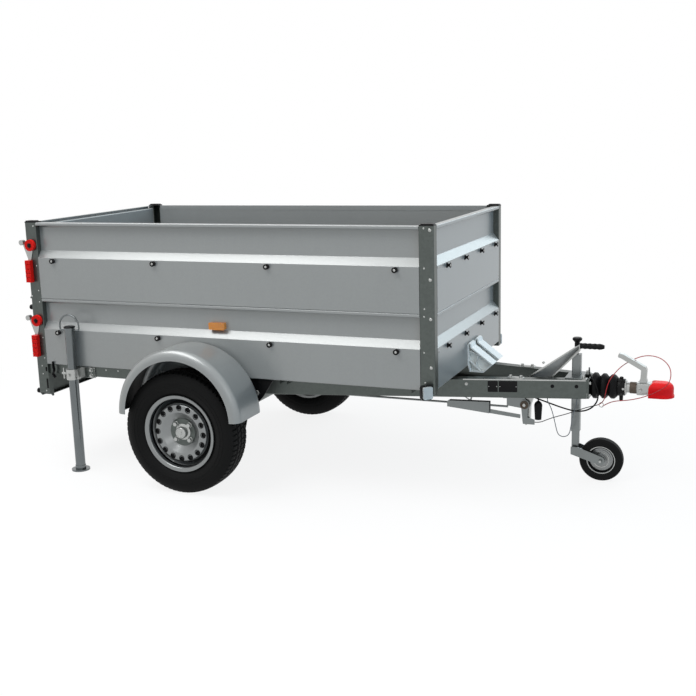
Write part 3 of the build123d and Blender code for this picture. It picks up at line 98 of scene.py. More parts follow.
class Graph:
    """Node tree of one material or world."""

    def __init__(self, owner):
        owner.use_nodes = True
        self.tree = owner.node_tree
        self.tree.nodes.clear()

    def node(self, kind, settings=None, inputs=None, out=0):
        """Adds a node: its settings first, then its inputs, and returns one output."""
        made = self.tree.nodes.new(kind)
        for key, value in (settings or {}).items():
            setattr(made, key, value)
        for key, value in (inputs or {}).items():
            if isinstance(value, Socket):
                self.tree.links.new(value.output, made.inputs[key])
            else:
                made.inputs[key].default_value = value
        return Socket(self, made.outputs[out]) if made.outputs else made

    def place(self):
        return self.node("ShaderNodeTexCoord", out="Object")

    def stretched(self, place, factors):
        return self.node("ShaderNodeVectorMath", {"operation": "MULTIPLY"}, {0: place, 1: factors})

    def noise(self, place, scale, detail):
        inputs = {"Vector": place, "Scale": scale, "Detail": detail, "Roughness": 0.55}
        return self.node("ShaderNodeTexNoise", {}, inputs, "Fac")

    def cells(self, place, scale):
        """One random number per cell, and the distance to the cell's middle."""
        distance = self.node("ShaderNodeTexVoronoi", {}, {"Vector": place, "Scale": scale})
        number = self.node("ShaderNodeSeparateColor", {}, {"Color": distance.sibling("Color")})
        return number, distance

    def ramp(self, value, low, high, start=0.0, end=1.0):
        inputs = {"Value": value, "From Min": low, "From Max": high, "To Min": start, "To Max": end}
        return self.node("ShaderNodeMapRange", {"interpolation_type": "SMOOTHSTEP"}, inputs)

    def mix(self, factor, first, second):
        return self.node("ShaderNodeMix", {"data_type": "RGBA"}, {0: factor, 6: first, 7: second}, 2)

    def scaled(self, colour, factor):
        return self.node("ShaderNodeVectorMath", {"operation": "SCALE"}, {0: colour, "Scale": factor})

    def surface(self, bump, depth, strength, **inputs):
        """A principled surface with a bump, as the material's output."""
        values = {key.replace("_", " "): value for key, value in inputs.items()}
        relief = {"Height": bump, "Distance": depth, "Strength": strength}
        values["Normal"] = self.node("ShaderNodeBump", {}, relief)
        shader = self.node("ShaderNodeBsdfPrincipled", {}, values)
        self.node("ShaderNodeOutputMaterial", {}, {"Surface": shader})


def rgb(red, green, blue):
    return (red, green, blue, 1.0)


def new_graph(name):
    return Graph(bpy.data.materials.new(name))


# Finishes

ROAD_DUST = rgb(0.2, 0.19, 0.17)
RUST = rgb(0.16, 0.07, 0.03)
SCUFF = rgb(0.3, 0.24, 0.18)


def galvanised(name, tint, rough, cell, contrast, metallic):
    """Zinc on steel: flakes of the given size, clouds of dulling and a fine grain."""
    g = new_graph(name)
    place = g.place()
    flake, _ = g.cells(place, 1.0 / cell)
    cloud = g.noise(place, 2.6, 5.0)
    run = g.noise(g.stretched(place, (9.0, 9.0, 1.1)), 3.0, 4.0)
    fine = g.noise(place, 340.0, 2.0)
    shade = 1.0 + contrast * (flake - 0.5) + 0.06 * (cloud - 0.5) + 0.04 * (run - 0.5) + 0.05 * (fine - 0.5)
    g.surface(
        bump=fine * 0.5 + flake * contrast,
        depth=0.0004,
        strength=0.35,
        Base_Color=g.scaled(tint, shade),
        Metallic=metallic,
        Roughness=rough + 0.4 * contrast * (flake - 0.5) + 0.05 * (cloud - 0.5) + 0.05 * (fine - 0.5),
    )


def plated(name, tint, rough):
    """Bright plating with a brushed grain and dull patches."""
    g = new_graph(name)
    place = g.place()
    cloud = g.noise(place, 14.0, 4.0)
    grain = g.noise(g.stretched(place, (30.0, 400.0, 400.0)), 1.0, 2.0)
    g.surface(
        bump=grain,
        depth=0.0002,
        strength=0.3,
        Base_Color=g.scaled(tint, 0.86 + 0.28 * cloud),
        Metallic=0.95,
        Roughness=rough + 0.22 * (cloud - 0.4) + 0.08 * (grain - 0.5),
    )


def painted(name, tint, rough):
    """Metallic paint: flakes under a clear coat, with road dust."""
    g = new_graph(name)
    place = g.place()
    flake, _ = g.cells(place, 900.0)
    cloud = g.noise(place, 11.0, 5.0)
    dust = g.ramp(cloud, 0.52, 0.75)
    g.surface(
        bump=g.noise(place, 160.0, 2.0),
        depth=0.0003,
        strength=0.15,
        Base_Color=g.mix(0.3 * dust, g.scaled(tint, 0.93 + 0.14 * flake), ROAD_DUST),
        Metallic=0.8,
        Roughness=rough + 0.25 * dust,
        Coat_Weight=0.4,
        Coat_Roughness=0.2,
    )


def cast(name, tint):
    """Rough cast iron with rust in its hollows."""
    g = new_graph(name)
    place = g.place()
    pit = g.noise(place, 220.0, 4.0)
    rust = g.ramp(g.noise(place, 26.0, 5.0), 0.5, 0.72)
    g.surface(
        bump=pit,
        depth=0.0006,
        strength=0.6,
        Base_Color=g.mix(0.45 * rust, g.scaled(tint, 0.8 + 0.4 * pit), RUST),
        Metallic=0.4,
        Roughness=0.55 + 0.2 * rust,
    )


def rubber(name, tint, dust_tint, rough):
    """Matt rubber with a fine grain and dust."""
    g = new_graph(name)
    place = g.place()
    grain = g.noise(place, 520.0, 2.0)
    dust = g.ramp(g.noise(place, 9.0, 6.0), 0.45, 0.8)
    g.surface(
        bump=grain,
        depth=0.0004,
        strength=0.4,
        Base_Color=g.mix(0.35 * dust, g.scaled(tint, 0.85 + 0.3 * grain), dust_tint),
        Roughness=rough + 0.15 * dust - 0.1 * grain,
        Specular_IOR_Level=0.12,
    )


def moulded(name, tint, rough, grain_size):
    """Moulded plastic: leathery grain, slight fading and handling marks."""
    g = new_graph(name)
    place = g.place()
    _, pebble = g.cells(place, 1.0 / grain_size)
    cloud = g.noise(place, 7.0, 5.0)
    mark = g.ramp(g.noise(g.stretched(place, (60.0, 14.0, 14.0)), 6.0, 4.0), 0.6, 0.75)
    worn = rgb(*(1.6 * value for value in tint))
    g.surface(
        bump=pebble,
        depth=0.0003,
        strength=0.25,
        Base_Color=g.mix(0.1 * mark, g.scaled(tint, 0.88 + 0.24 * cloud), worn),
        Roughness=rough + 0.15 * (cloud - 0.5) + 0.12 * mark,
        Specular_IOR_Level=0.16,
    )


def two_tone(name, tint, rear_tint, change, rough):
    """Sheathed wire whose colour changes at a place along the trailer."""
    g = new_graph(name)
    place = g.place()
    along = g.node("ShaderNodeSeparateXYZ", {}, {"Vector": place}, "X")
    sheath = g.mix(g.ramp(along, change - 0.004, change + 0.004), rear_tint, rgb(*tint))
    fleck = g.noise(place, 600.0, 2.0)
    g.surface(
        bump=fleck,
        depth=0.0002,
        strength=0.4,
        Base_Color=g.scaled(sheath, 0.8 + 0.4 * fleck),
        Roughness=rough + 0.1 * fleck,
    )


def lens(name, tint, rib, clearness):
    """Clear moulding with ribs pressed into its back."""
    g = new_graph(name)
    place = g.place()
    wave = g.node(
        "ShaderNodeTexWave",
        {"wave_type": "BANDS", "bands_direction": "X"},
        {"Vector": place, "Scale": rib, "Distortion": 0.0},
        "Fac",
    )
    cloud = g.noise(place, 30.0, 3.0)
    g.surface(
        bump=wave,
        depth=0.0008,
        strength=0.5,
        Base_Color=g.scaled(tint, 0.75 + 0.35 * wave + 0.1 * cloud),
        Roughness=0.12 + 0.1 * cloud,
        Transmission_Weight=clearness,
        IOR=1.49,
        Coat_Weight=0.5,
        Coat_Roughness=0.05,
    )


def film_ply(name, tint):
    """Film-faced plywood with a woven grip pattern and scuffs."""
    g = new_graph(name)
    place = g.place()
    mesh_x = g.node("ShaderNodeTexWave", {"bands_direction": "X"}, {"Vector": place, "Scale": 45.0}, "Fac")
    mesh_y = g.node("ShaderNodeTexWave", {"bands_direction": "Y"}, {"Vector": place, "Scale": 45.0}, "Fac")
    grip = mesh_x * mesh_y
    scuff = g.ramp(g.noise(g.stretched(place, (1.0, 7.0, 1.0)), 5.0, 6.0), 0.5, 0.75)
    g.surface(
        bump=grip,
        depth=0.0008,
        strength=0.5,
        Base_Color=g.mix(0.35 * scuff, g.scaled(tint, 0.8 + 0.4 * grip), SCUFF),
        Roughness=0.42 + 0.3 * scuff,
    )


# Maker of each finish, and what follows the tint in its call
FINISHES = {
    "galvanised_sheet": (galvanised, 0.3, 0.007, 0.03, 0.38),
    "galvanised_frame": (galvanised, 0.36, 0.011, 0.12, 0.85),
    "zinc_plated": (plated, 0.26),
    "rim_silver": (painted, 0.28),
    "drum_iron": (cast,),
    "tyre": (rubber, rgb(0.018, 0.018, 0.017), 0.66),
    "black_rubber": (rubber, rgb(0.01, 0.01, 0.01), 0.5),
    "black_plastic": (moulded, 0.4, 0.0012),
    "red_plastic": (moulded, 0.3, 0.0015),
    "red_rubber": (moulded, 0.45, 0.0011),
    "white_plastic": (moulded, 0.45, 0.0014),
    "amber_lens": (lens, 130.0, 0.2),
    "clear_lens": (lens, 130.0, 0.3),
    "red_lens": (lens, 110.0, 0.2),
    "floor_ply": (film_ply,),
    "cord_black": (rubber, rgb(0.012, 0.012, 0.012), 0.45),
    "cord_red": (two_tone, rgb(0.006, 0.006, 0.007), 1.2, 0.35),
    "cord_grey": (moulded, 0.4, 0.0008),
    "dull_zinc": (plated, 0.3),
    "tube_zinc": (plated, 0.2),
    "bright_zinc": (plated, 0.26),
}


def finish_of(slot):
    """The slot's material, made the first time it is asked for."""
    name = f"{slot}_finish"
    if name not in bpy.data.materials:
        make, *values = FINISHES[slot]
        make(name, tuple(getattr(bpy.context.scene.trailer.finish, slot)), *values)
    return bpy.data.materials[name]


# Mesh helpers

SIDES = (("right", -1), ("left", 1))
SAME_PLACE = 1e-6
SHARP_EDGE = radians(35)


def middle_of(node):
    """Middle of a CAD node's box."""
    low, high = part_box(node)
    return (Vector(low) + Vector(high)) / 2


def add_piece(name, bm, slot, body):
    """Turns a bmesh into a piece with a finish that rides on a body."""
    bmesh.ops.remove_doubles(bm, verts=bm.verts, dist=SAME_PLACE)
    bmesh.ops.recalc_face_normals(bm, faces=bm.faces)
    mesh = bpy.data.meshes.new(name)
    bm.to_mesh(mesh)
    bm.free()
    piece = bpy.data.objects.new(name, mesh)
    bpy.context.scene.collection.objects.link(piece)
    mesh.materials.append(finish_of(slot))
    mesh.shade_smooth()
    mesh.set_sharp_from_angle(angle=SHARP_EDGE)
    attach(piece, body)
    return piece


def facing(origin, direction):
    """A place whose Z axis points along the given direction."""
    turn = Vector(direction).to_track_quat("Z", "Y").to_matrix().to_4x4()
    return Matrix.Translation(origin) @ turn


def outwards(x, y, z, sign):
    """A place at one side of the trailer whose Z axis points outwards."""
    return facing((x, sign * y, z), (0, sign, 0))


def upright(origin, sign=-1):
    """A place on an upright plane at one side of the trailer: its Y points up, its Z outwards."""
    turn = Matrix(((-sign, 0, 0), (0, 0, sign), (0, 1, 0))).to_4x4()
    return Matrix.Translation(origin) @ turn


def skin(bm, rings):
    """Joins rings of the same count with faces, each to the next."""
    for low, high in zip(rings, rings[1:]):
        for i in range(len(low)):
            j = (i + 1) % len(low)
            bm.faces.new((low[i], low[j], high[j], high[i]))


def lathe(bm, profile, at, steps=32):
    """Turns a profile of (radius, height) about the Z axis of a place; radius 0 closes an end."""
    turns = [(cos(tau * i / steps), sin(tau * i / steps)) for i in range(steps)]
    rings = []
    for radius, height in profile:
        if radius:
            rings.append([bm.verts.new(at @ Vector((radius * x, radius * y, height))) for x, y in turns])
        else:
            rings.append([bm.verts.new(at @ Vector((0, 0, height)))])
    for low, high in zip(rings, rings[1:]):
        for i in range(steps):
            j = (i + 1) % steps
            if len(low) == 1:
                bm.faces.new((low[0], high[i], high[j]))
            elif len(high) == 1:
                bm.faces.new((low[i], high[0], low[j]))
            else:
                bm.faces.new((low[i], low[j], high[j], high[i]))


def hex_bolt(bm, at, across, height, washer=0.0):
    """Hexagon head with a chamfered top, on a washer if it has one."""
    r = across / sqrt(3)
    base = 0.0
    if washer:
        base = 0.12 * across
        lathe(bm, [(0, 0), (washer, 0), (washer, base * 0.8), (washer * 0.96, base), (0, base)], at)
    top = base + height
    lathe(bm, [(0, base), (r, base), (r, base + 0.8 * height), (0.88 * r, top), (0, top)], at, 6)


def dome_bolt(bm, at, r, height):
    """Round head with a domed top."""
    curve = [(r * cos(a), height * (0.25 + 0.75 * sin(a))) for a in (0.0, 0.3, 0.6, 0.9, 1.2)]
    lathe(bm, [(0, 0), (r, 0), *curve, (0, height)], at, 20)


def rounded(width, height, r, steps=5):
    """Outline of a rectangle with rounded corners, as (x, y) points."""
    points = []
    for k, (sx, sy) in enumerate(((1, 1), (-1, 1), (-1, -1), (1, -1))):
        middle = (sx * (width / 2 - r), sy * (height / 2 - r))
        for i in range(steps + 1):
            turn = (k + i / steps) * pi / 2
            points.append((middle[0] + r * cos(turn), middle[1] + r * sin(turn)))
    return points


def slab(bm, outline, at, height, edge):
    """A plate of the given outline with its upper edge rounded off."""
    rings = []
    cx = sum(x for x, _ in outline) / len(outline)
    cy = sum(y for _, y in outline) / len(outline)
    for pull, level in ((0, 0), (0, height - edge), (0.3 * edge, height - 0.3 * edge), (edge, height)):
        ring = []
        for x, y in outline:
            away = Vector((x - cx, y - cy))
            x, y = Vector((x, y)) - pull * away.normalized()
            ring.append(bm.verts.new(at @ Vector((x, y, level))))
        rings.append(ring)
    skin(bm, rings)
    bm.faces.new(rings[-1])
    bm.faces.new(tuple(reversed(rings[0])))


def torus(bm, at, ring_r, wire_r, turns=40, sides=10):
    """A wire ring about the Z axis of a place."""
    loops = []
    for i in range(turns):
        turn = tau * i / turns
        loop = []
        for k in range(sides):
            lean = tau * k / sides
            reach = ring_r + wire_r * cos(lean)
            loop.append(bm.verts.new(at @ Vector((reach * cos(turn), reach * sin(turn), wire_r * sin(lean)))))
        loops.append(loop)
    for i in range(turns):
        for k in range(sides):
            low, high = loops[i], loops[(i + 1) % turns]
            bm.faces.new((low[k], high[k], high[(k + 1) % sides], low[(k + 1) % sides]))


def bar(bm, start, end, width, thickness):
    """A flat bar with softened edges from one place to another."""
    start, end = Vector(start), Vector(end)
    at = facing(start, end - start)
    length = (end - start).length
    slab(bm, rounded(width, thickness, 0.3 * min(width, thickness), 3), at, length, 0.2 * thickness)


# Outer face of a drawbar beam: X and Y of its front end, and how far it spreads per metre back
BEAM_FRONT_X, BEAM_FRONT_Y = 1.156, 0.075
BEAM_SPREAD = 393.0 / 1760.0


def on_beam(x, z, side=-1):
    """A place on the outer face of a drawbar beam: its X runs along the beam, its Z points outwards."""
    along = Vector((1, -side * BEAM_SPREAD, 0)).normalized()
    out = Vector((0, 0, 1)).cross(along) * side
    turn = Matrix((along, Vector((0, 0, -side)), out)).transposed().to_4x4()
    return Matrix.Translation((x, side * (BEAM_FRONT_Y + (BEAM_FRONT_X - x) * BEAM_SPREAD), z)) @ turn


# Settings


def tint(name, description, *default):
    """A colour setting, in linear red, green and blue."""
    return FloatVectorProperty(
        name=name, description=description, default=default, subtype="COLOR", min=0.0, max=1.0
    )


class FinishSettings(bpy.types.PropertyGroup):
    """Tints of the finishes, each under the name of its slot or look."""

    galvanised_sheet: tint("Sheet", "Zinc of the boards, gates and mudguards", 0.325, 0.335, 0.33)
    galvanised_frame: tint("Frame", "Zinc of the posts, rails and beams", 0.1, 0.113, 0.106)
    zinc_plated: tint("Plating", "Bolts, rivets and small fittings", 0.42, 0.43, 0.42)
    rim_silver: tint("Rims", "Paint of the wheel rims", 0.24, 0.25, 0.25)
    drum_iron: tint("Drums", "Cast iron of the brake drums", 0.1, 0.075, 0.055)
    tyre: tint("Tyres", "Rubber of the tyres", 0.006, 0.006, 0.006)
    # Black rubber also makes the black sheets of painted shade in the rims, on the jockey rim and under the
    # mudguards; that painted shade is the undercoat in its description
    black_rubber: tint("Black rubber", "Bellows, buffers, straps and undercoat", 0.004, 0.004, 0.0045)
    black_plastic: tint("Black plastic", "Caps, knobs and bare plates", 0.004, 0.004, 0.0045)
    red_plastic: tint("Latches", "Handles of the toggle latches", 0.74, 0.009, 0.006)
    red_rubber: tint("Bumper", "Soft bumper of the coupling", 0.82, 0.01, 0.013)
    white_plastic: tint("Chocks", "Moulding of the wheel chocks", 0.93, 0.94, 0.92)
    amber_lens: tint("Amber lens", "Side markers", 0.9, 0.3, 0.02)
    clear_lens: tint("Clear lens", "Front lamps", 0.8, 0.84, 0.84)
    red_lens: tint("Red lens", "Rear lamps", 0.5, 0.012, 0.012)
    floor_ply: tint("Load floor", "Film of the plywood floor", 0.05, 0.028, 0.017)
    cord_black: tint("Lamp lead", "Sheath of the lamp lead and its plug", 0.005, 0.005, 0.0055)
    cord_red: tint("Breakaway cable", "Sheath of the cable's front part", 0.42, 0.012, 0.016)
    cord_grey: tint("Brake wire", "Sheath of the brake wire", 0.2, 0.21, 0.22)
    dull_zinc: tint("Dull zinc", "Brake gear and jockey leg", 0.2, 0.215, 0.215)
    tube_zinc: tint("Tube zinc", "Prop stands", 0.16, 0.175, 0.18)
    bright_zinc: tint("Bright zinc", "Brake lever and coupling", 0.4, 0.41, 0.4)


class TyreSettings(bpy.types.PropertyGroup):
    """Road tyres, drawn over their CAD solids."""

    outer_radius: FloatProperty(name="Radius", description="Tread radius", default=0.289, unit="LENGTH")
    width: FloatProperty(name="Width", description="Width over the side walls", default=0.157, unit="LENGTH")
    tread: FloatProperty(name="Tread", description="Width of the tread", default=0.118, unit="LENGTH")
    groove: FloatProperty(name="Groove", description="Depth of the grooves", default=0.007, unit="LENGTH")
    pitches: IntProperty(name="Pitches", description="Tread blocks round the tyre", default=72)
    steps: IntProperty(name="Steps", description="Mesh steps round the tyre", default=864)


class KnobSettings(bpy.types.PropertyGroup):
    """Tie knobs on the boards."""

    radius: FloatProperty(name="Radius", description="Radius of the head", default=0.0125, unit="LENGTH")
    height: FloatProperty(name="Height", description="Height over the board", default=0.017, unit="LENGTH")
    drop: FloatProperty(
        name="Drop", description="From the slope's foot to the knob", default=0.014, unit="LENGTH"
    )


class StageSettings(bpy.types.PropertyGroup):
    """Camera and lights."""

    camera: FloatVectorProperty(
        name="Camera", description="Place of the camera", default=(1.91, -4.703, 1.626), subtype="XYZ"
    )
    yaw: FloatProperty(name="Yaw", description="Turn from +Y towards -X, degrees", default=22.54)
    pitch: FloatProperty(name="Pitch", description="Tilt below the horizon, degrees", default=11.78)
    roll: FloatProperty(name="Roll", description="Roll about the line of sight, degrees", default=-1.6)
    lens: FloatProperty(name="Lens", description="Focal length on a 36 mm sensor, mm", default=53.674)
    overhead: FloatProperty(
        name="Overhead", description="Power of the overhead light", default=112.0, unit="POWER"
    )
    fill: FloatProperty(name="Fill", description="Power of the fill light", default=16.0, unit="POWER")
    back: FloatProperty(name="Back", description="Power of the light behind", default=34.0, unit="POWER")


class TrailerSettings(bpy.types.PropertyGroup):
    """All settings of the trailer's looks."""

    finish: PointerProperty(type=FinishSettings)
    tyre: PointerProperty(type=TyreSettings)
    knob: PointerProperty(type=KnobSettings)
    stage: PointerProperty(type=StageSettings)


# Pieces

# Nodes that look brighter, duller or smoother than the rest of their slot
LOOKS = {
    "stand_clamps": "zinc_plated",
    "handbrake_lever": "bright_zinc",
    "coupling_head": "bright_zinc",
    "coupling_handle": "bright_zinc",
    "brake_bracket": "dull_zinc",
    "brake_rod": "dull_zinc",
    "jockey_leg": "dull_zinc",
    "jockey_guide": "dull_zinc",
    "stand_right": "tube_zinc",
    "stand_left": "tube_zinc",
}


class TRAILER_OT_finishes(bpy.types.Operator):
    """Gives every CAD node the finish of its material slot"""

    bl_idname = "trailer.finishes"
    bl_label = "Finishes"

    def execute(self, context):
        for row in frame["record"]["subparts"]:
            node = frame["nodes"][row["node"]]
            node.data.materials.clear()
            node.data.materials.append(finish_of(LOOKS.get(row["node"], row["material_slot"])))
        return {"FINISHED"}


# Grooves round the tread: middle and half width, as shares of half the tread
GROOVES = ((-0.5, 0.055), (0.0, 0.05), (0.5, 0.055))
# Mesh rows across the tread
TREAD_ROWS = 46


def cut(distance, half, flank):
    """Depth of a cut: 1 over its half width, falling to 0 across its flank."""
    return 1.0 - min(1.0, max(0.0, (distance - half) / flank))


def tread_depth(turn, across, pitches):
    """How deep the tread is cut at a place, from 0 to 1; across runs from -1 to 1."""
    depth = max(cut(abs(across - middle), half, 0.03) for middle, half in GROOVES)
    slant = turn * pitches / tau + 0.45 * abs(across)
    if abs(across) > 0.5:
        gap = abs((slant + 0.5) % 1.0 - 0.5)
        return max(depth, 0.9 * cut(gap, 0.09, 0.05))
    gap = abs((slant + 0.9 * across + 0.25) % 1.0 - 0.5)
    return max(depth, 0.5 * cut(gap, 0.05, 0.05))


def tyre_mesh(bm, at, s):
    """One tyre about the Z axis of a place: bead, ribbed side walls, cut tread."""
    half, r = s.width / 2, s.outer_radius
    # Radius, distance from the tyre's middle
    wall = [
        (0.1668, 0.0545),
        (0.181, 0.0570),
        (0.186, 0.0590),
        (0.190, 0.0625),
        (0.196, 0.0675),
        (0.205, 0.0722),
        (0.216, 0.0758),
        (0.2165, 0.0768),
        (0.2205, 0.0772),
        (0.221, 0.0764),
        (0.232, half - 0.0012),
        (0.2325, half),
        (0.2365, half),
        (0.237, half - 0.001),
        (0.247, half - 0.0015),
        (0.257, half - 0.004),
        (0.266, half - 0.0078),
        (0.2735, half - 0.0118),
        (0.2795, half - 0.016),
    ]
    crown = []
    for i in range(TREAD_ROWS + 1):
        across = 1.0 - 2.0 * i / TREAD_ROWS
        crown.append((r - 0.0045 * across**4 - 0.001 * across**2, across * s.tread / 2, across))
    rows = [(a, b, None) for a, b in wall] + crown + [(a, -b, None) for a, b in reversed(wall)]
    rings = []
    for radius, height, across in rows:
        ring = []
        for i in range(s.steps):
            turn = tau * i / s.steps
            depth = 0.0 if across is None else s.groove * tread_depth(turn, across, s.pitches)
            reach = radius - depth
            ring.append(bm.verts.new(at @ Vector((reach * cos(turn), reach * sin(turn), height))))
        rings.append(ring)
    skin(bm, [*rings, rings[0]])


class TRAILER_OT_tyres(bpy.types.Operator):
    """Makes the road tyres with side ribs and tread"""

    bl_idname = "trailer.tyres"
    bl_label = "Road tyres"

    def execute(self, context):
        for side, sign in SIDES:
            bm = bmesh.new()
            tyre_mesh(bm, facing(middle_of(f"tyre_{side}"), (0, sign, 0)), context.scene.trailer.tyre)
            tyre = add_piece(f"road_tyre_{side}", bm, "tyre", f"wheel_{side}")
            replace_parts(tyre, f"tyre_{side}")
        return {"FINISHED"}


# Wheels, as radius and distance outwards of the rim's middle: dust cap of the hub with its shoulder ring
HUB_CAP = (
    (0.0300, 0.0255), (0.0385, 0.0262), (0.0385, 0.0285), (0.0350, 0.0305), (0.0285, 0.0315),
    (0.0280, 0.0330), (0.0280, 0.0460), (0.0272, 0.0505), (0.0240, 0.0538), (0.0195, 0.0545),
    (0.0185, 0.0530), (0.0090, 0.0527), (0.0080, 0.0545), (0.0, 0.0550),
)
# Darker face of the hub round its dust cap: partly the hub's own duller zinc, partly painted shade of the
# recess round it
HUB_FACE_AND_PAINTED_SHADE = ((0.0300, 0.0255), (0.0302, 0.0266), (0.0610, 0.0266), (0.0632, 0.0272), (0.0655, 0.0285))
# Painted shade: black sheets in the groove round the disc and behind its vents, where the rim lies in shade
RIM_GROOVE_PAINTED_SHADE = (
    (0.1395, 0.0360), (0.1450, 0.0215), (0.1475, 0.0158), (0.1500, 0.0138), (0.1560, 0.0160),
    (0.1605, 0.0205), (0.1614, 0.0262), (0.1614, 0.0440),
)
VENT_BACK_PAINTED_SHADE = ((0.1000, 0.0440), (0.1080, 0.0480), (0.1340, 0.0480))
# Painted shade: a black ring in the mouth of a vent, about the vent's own middle
VENT_MOUTH_PAINTED_SHADE = ((0.0106, -0.0010), (0.0110, 0.0004), (0.0139, 0.0004), (0.0143, 0.0))
VENTS = 16
VENT_CIRCLE = (0.1203, 0.0531)
BOLT_CIRCLE = (0.05, 0.026)


def on_wheel(middle, sign, circle, turn):
    """A place on a circle of the wheel, given as radius and distance outwards, that faces outwards."""
    radius, out = circle
    return facing(middle + Vector((radius * cos(turn), sign * out, radius * sin(turn))), (0, sign, 0))


class TRAILER_OT_wheel_bolts(bpy.types.Operator):
    """Adds the wheel bolts, the darker faces of the hubs with painted shade of their recesses, the hubs' dust
    caps, and black sheets of painted shade in the rims' hollows
    """

    bl_idname = "trailer.wheel_bolts"
    bl_label = "Wheel bolts"

    def execute(self, context):
        for side, sign in SIDES:
            body = f"wheel_{side}"
            middle = middle_of(f"rim_{side}")
            at = facing(middle, (0, sign, 0))
            bolts, shade, face, cap = bmesh.new(), bmesh.new(), bmesh.new(), bmesh.new()
            for i in range(4):
                seat = on_wheel(middle, sign, BOLT_CIRCLE, radians(45 + 90 * i))
                hex_bolt(bolts, seat, 0.019, 0.012, 0.0125)
            # Black sheets of painted shade in the rim's groove, behind its vents and in their mouths
            for profile in (RIM_GROOVE_PAINTED_SHADE, VENT_BACK_PAINTED_SHADE):
                lathe(shade, profile, at, 96)
            for i in range(VENTS):
                lathe(shade, VENT_MOUTH_PAINTED_SHADE, on_wheel(middle, sign, VENT_CIRCLE, tau * i / VENTS), 28)
            # Darker hub face: partly its own zinc, partly painted shade of the recess
            lathe(face, HUB_FACE_AND_PAINTED_SHADE, at, 64)
            lathe(cap, HUB_CAP, at, 48)
            add_piece(f"wheel_bolts_{side}", bolts, "zinc_plated", body)
            add_piece(f"wheel_shade_{side}", shade, "black_rubber", body)
            add_piece(f"hub_face_{side}", face, "galvanised_frame", body)
            add_piece(f"hub_cap_{side}", cap, "zinc_plated", body)
        return {"FINISHED"}


# Tie knobs: X along the side boards, Y across the front boards, heights of the slopes' feet
SIDE_KNOBS_X = (-1.349, -0.775, -0.183, 0.425)
FRONT_KNOBS_Y = (-0.387, -0.103, 0.17, 0.443)
SLOPE_FEET = (1.0595, 0.7043)
# Outline of a knob, as shares of its radius and height
KNOB = (
    (0, 0), (0.95, 0), (0.95, 0.14), (0.72, 0.22), (0.52, 0.42), (0.52, 0.56), (0.72, 0.74),
    (1, 0.9), (0.98, 0.97), (0.9, 1), (0.6, 1), (0.56, 0.9), (0, 0.9),
)


def tie_knob(bm, bolts, at, s):
    """A waisted knob with a bolt in the hollow of its head."""
    lathe(bm, [(a * s.radius, b * s.height) for a, b in KNOB], at, 28)
    dome_bolt(bolts, at @ Matrix.Translation((0, 0, 0.9 * s.height)), 0.46 * s.radius, 0.003)


class TRAILER_OT_knobs(bpy.types.Operator):
    """Adds the black tie knobs along the boards"""

    bl_idname = "trailer.knobs"
    bl_label = "Tie knobs"

    def execute(self, context):
        s = context.scene.trailer.knob
        side_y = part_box("side_board_upper_left")[1][1]
        front_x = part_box("front_board_upper")[1][0]
        knobs, bolts = bmesh.new(), bmesh.new()
        for foot in SLOPE_FEET:
            height = foot - s.drop
            for x in SIDE_KNOBS_X:
                for sign in (-1, 1):
                    tie_knob(knobs, bolts, outwards(x, side_y, height, sign), s)
            for y in FRONT_KNOBS_Y:
                tie_knob(knobs, bolts, facing((front_x, y, height), (1, 0, 0)), s)
        add_piece("tie_knobs", knobs, "black_plastic", "chassis")
        add_piece("tie_knob_bolts", bolts, "zinc_plated", "chassis")
        return {"FINISHED"}

# Routes of the cords: points in millimetres in the trailer's frame, from the fixed end on
LEAD_ROUTE = (
    (1144, 58, 495), (1144, 58, 508), (1145, 51, 520), (1147, 39, 527), (1150, 22, 527),
    (1154, -2, 522), (1160, -27, 513), (1172, -48, 501), (1188, -64, 483), (1202, -71, 456),
    (1207, -68, 424), (1200, -60, 391), (1178, -50, 361), (1144, -45, 341), (1100, -46, 337),
    (1050, -56, 350), (1000, -66, 368), (958, -69, 382), (925, -67, 391), (893, -66, 405),
    (874, -66, 430), (884, -67, 458), (912, -69, 462), (930, -69, 440), (935, -70, 414),
    (936, -78, 396), (936, -78, 382),
)
BREAKAWAY_ROUTE = (
    (916, -61.5, 274), (940, -61.5, 274), (972, -61, 290), (1008, -57, 305), (1060, -44, 320),
    (1112, -33, 340), (1166, -30, 361), (1206, -32, 372), (1230, -44, 398), (1238, -62, 438),
    (1248, -66, 486), (1266, -50, 518), (1290, -20, 546), (1313, 14, 562), (1342, 27, 578),
    (1374, 29, 594), (1408, 22, 603), (1446, 10, 603), (1480, -4, 592), (1508, -22, 567),
    (1518, -42, 536), (1512, -58, 502), (1494, -61, 480), (1460, -62, 458), (1420, -60, 436),
    (1370, -52, 416), (1322, -45, 404), (1280, -40, 398), (1244, -38, 384), (1222, -38, 368),
)
RELEASE_ROUTE = (
    (980, -90, 405), (980, -90, 387), (996, -87, 360), (1006, -84, 325), (1014, -82, 291),
    (1020, -80, 262), (1026, -78, 237), (1036, -75, 223), (1053, -71, 217.5), (1070, -67, 223),
    (1080, -64, 237), (1084, -63, 262), (1089, -62, 298), (1097, -62, 340), (1110, -62, 380),
    (1110, -62, 405),
)
# Name, CAD node, slot, diameter, length, far end, stiffness, lay, route
CORDS = (
    ("lead", "lamp_lead", "cord_black", 0.007, 0.772, "plug", "limp", "hanging", LEAD_ROUTE),
    (
        "breakaway", "breakaway_cable", "cord_red", 0.004, 1.196,
        "fitting", "medium", "hanging", BREAKAWAY_ROUTE,
    ),
    (
        "release", "brake_release_wire", "cord_grey", 0.004, 0.417,
        "object", "medium", "hanging", RELEASE_ROUTE,
    ),
)
# Wire ring that holds the breakaway cable: middle, axis, radius, radius of the wire
BREAKAWAY_RING = ((1.2165, -0.037, 0.3735), (0.25, 1, -0.1), 0.0105, 0.0016)


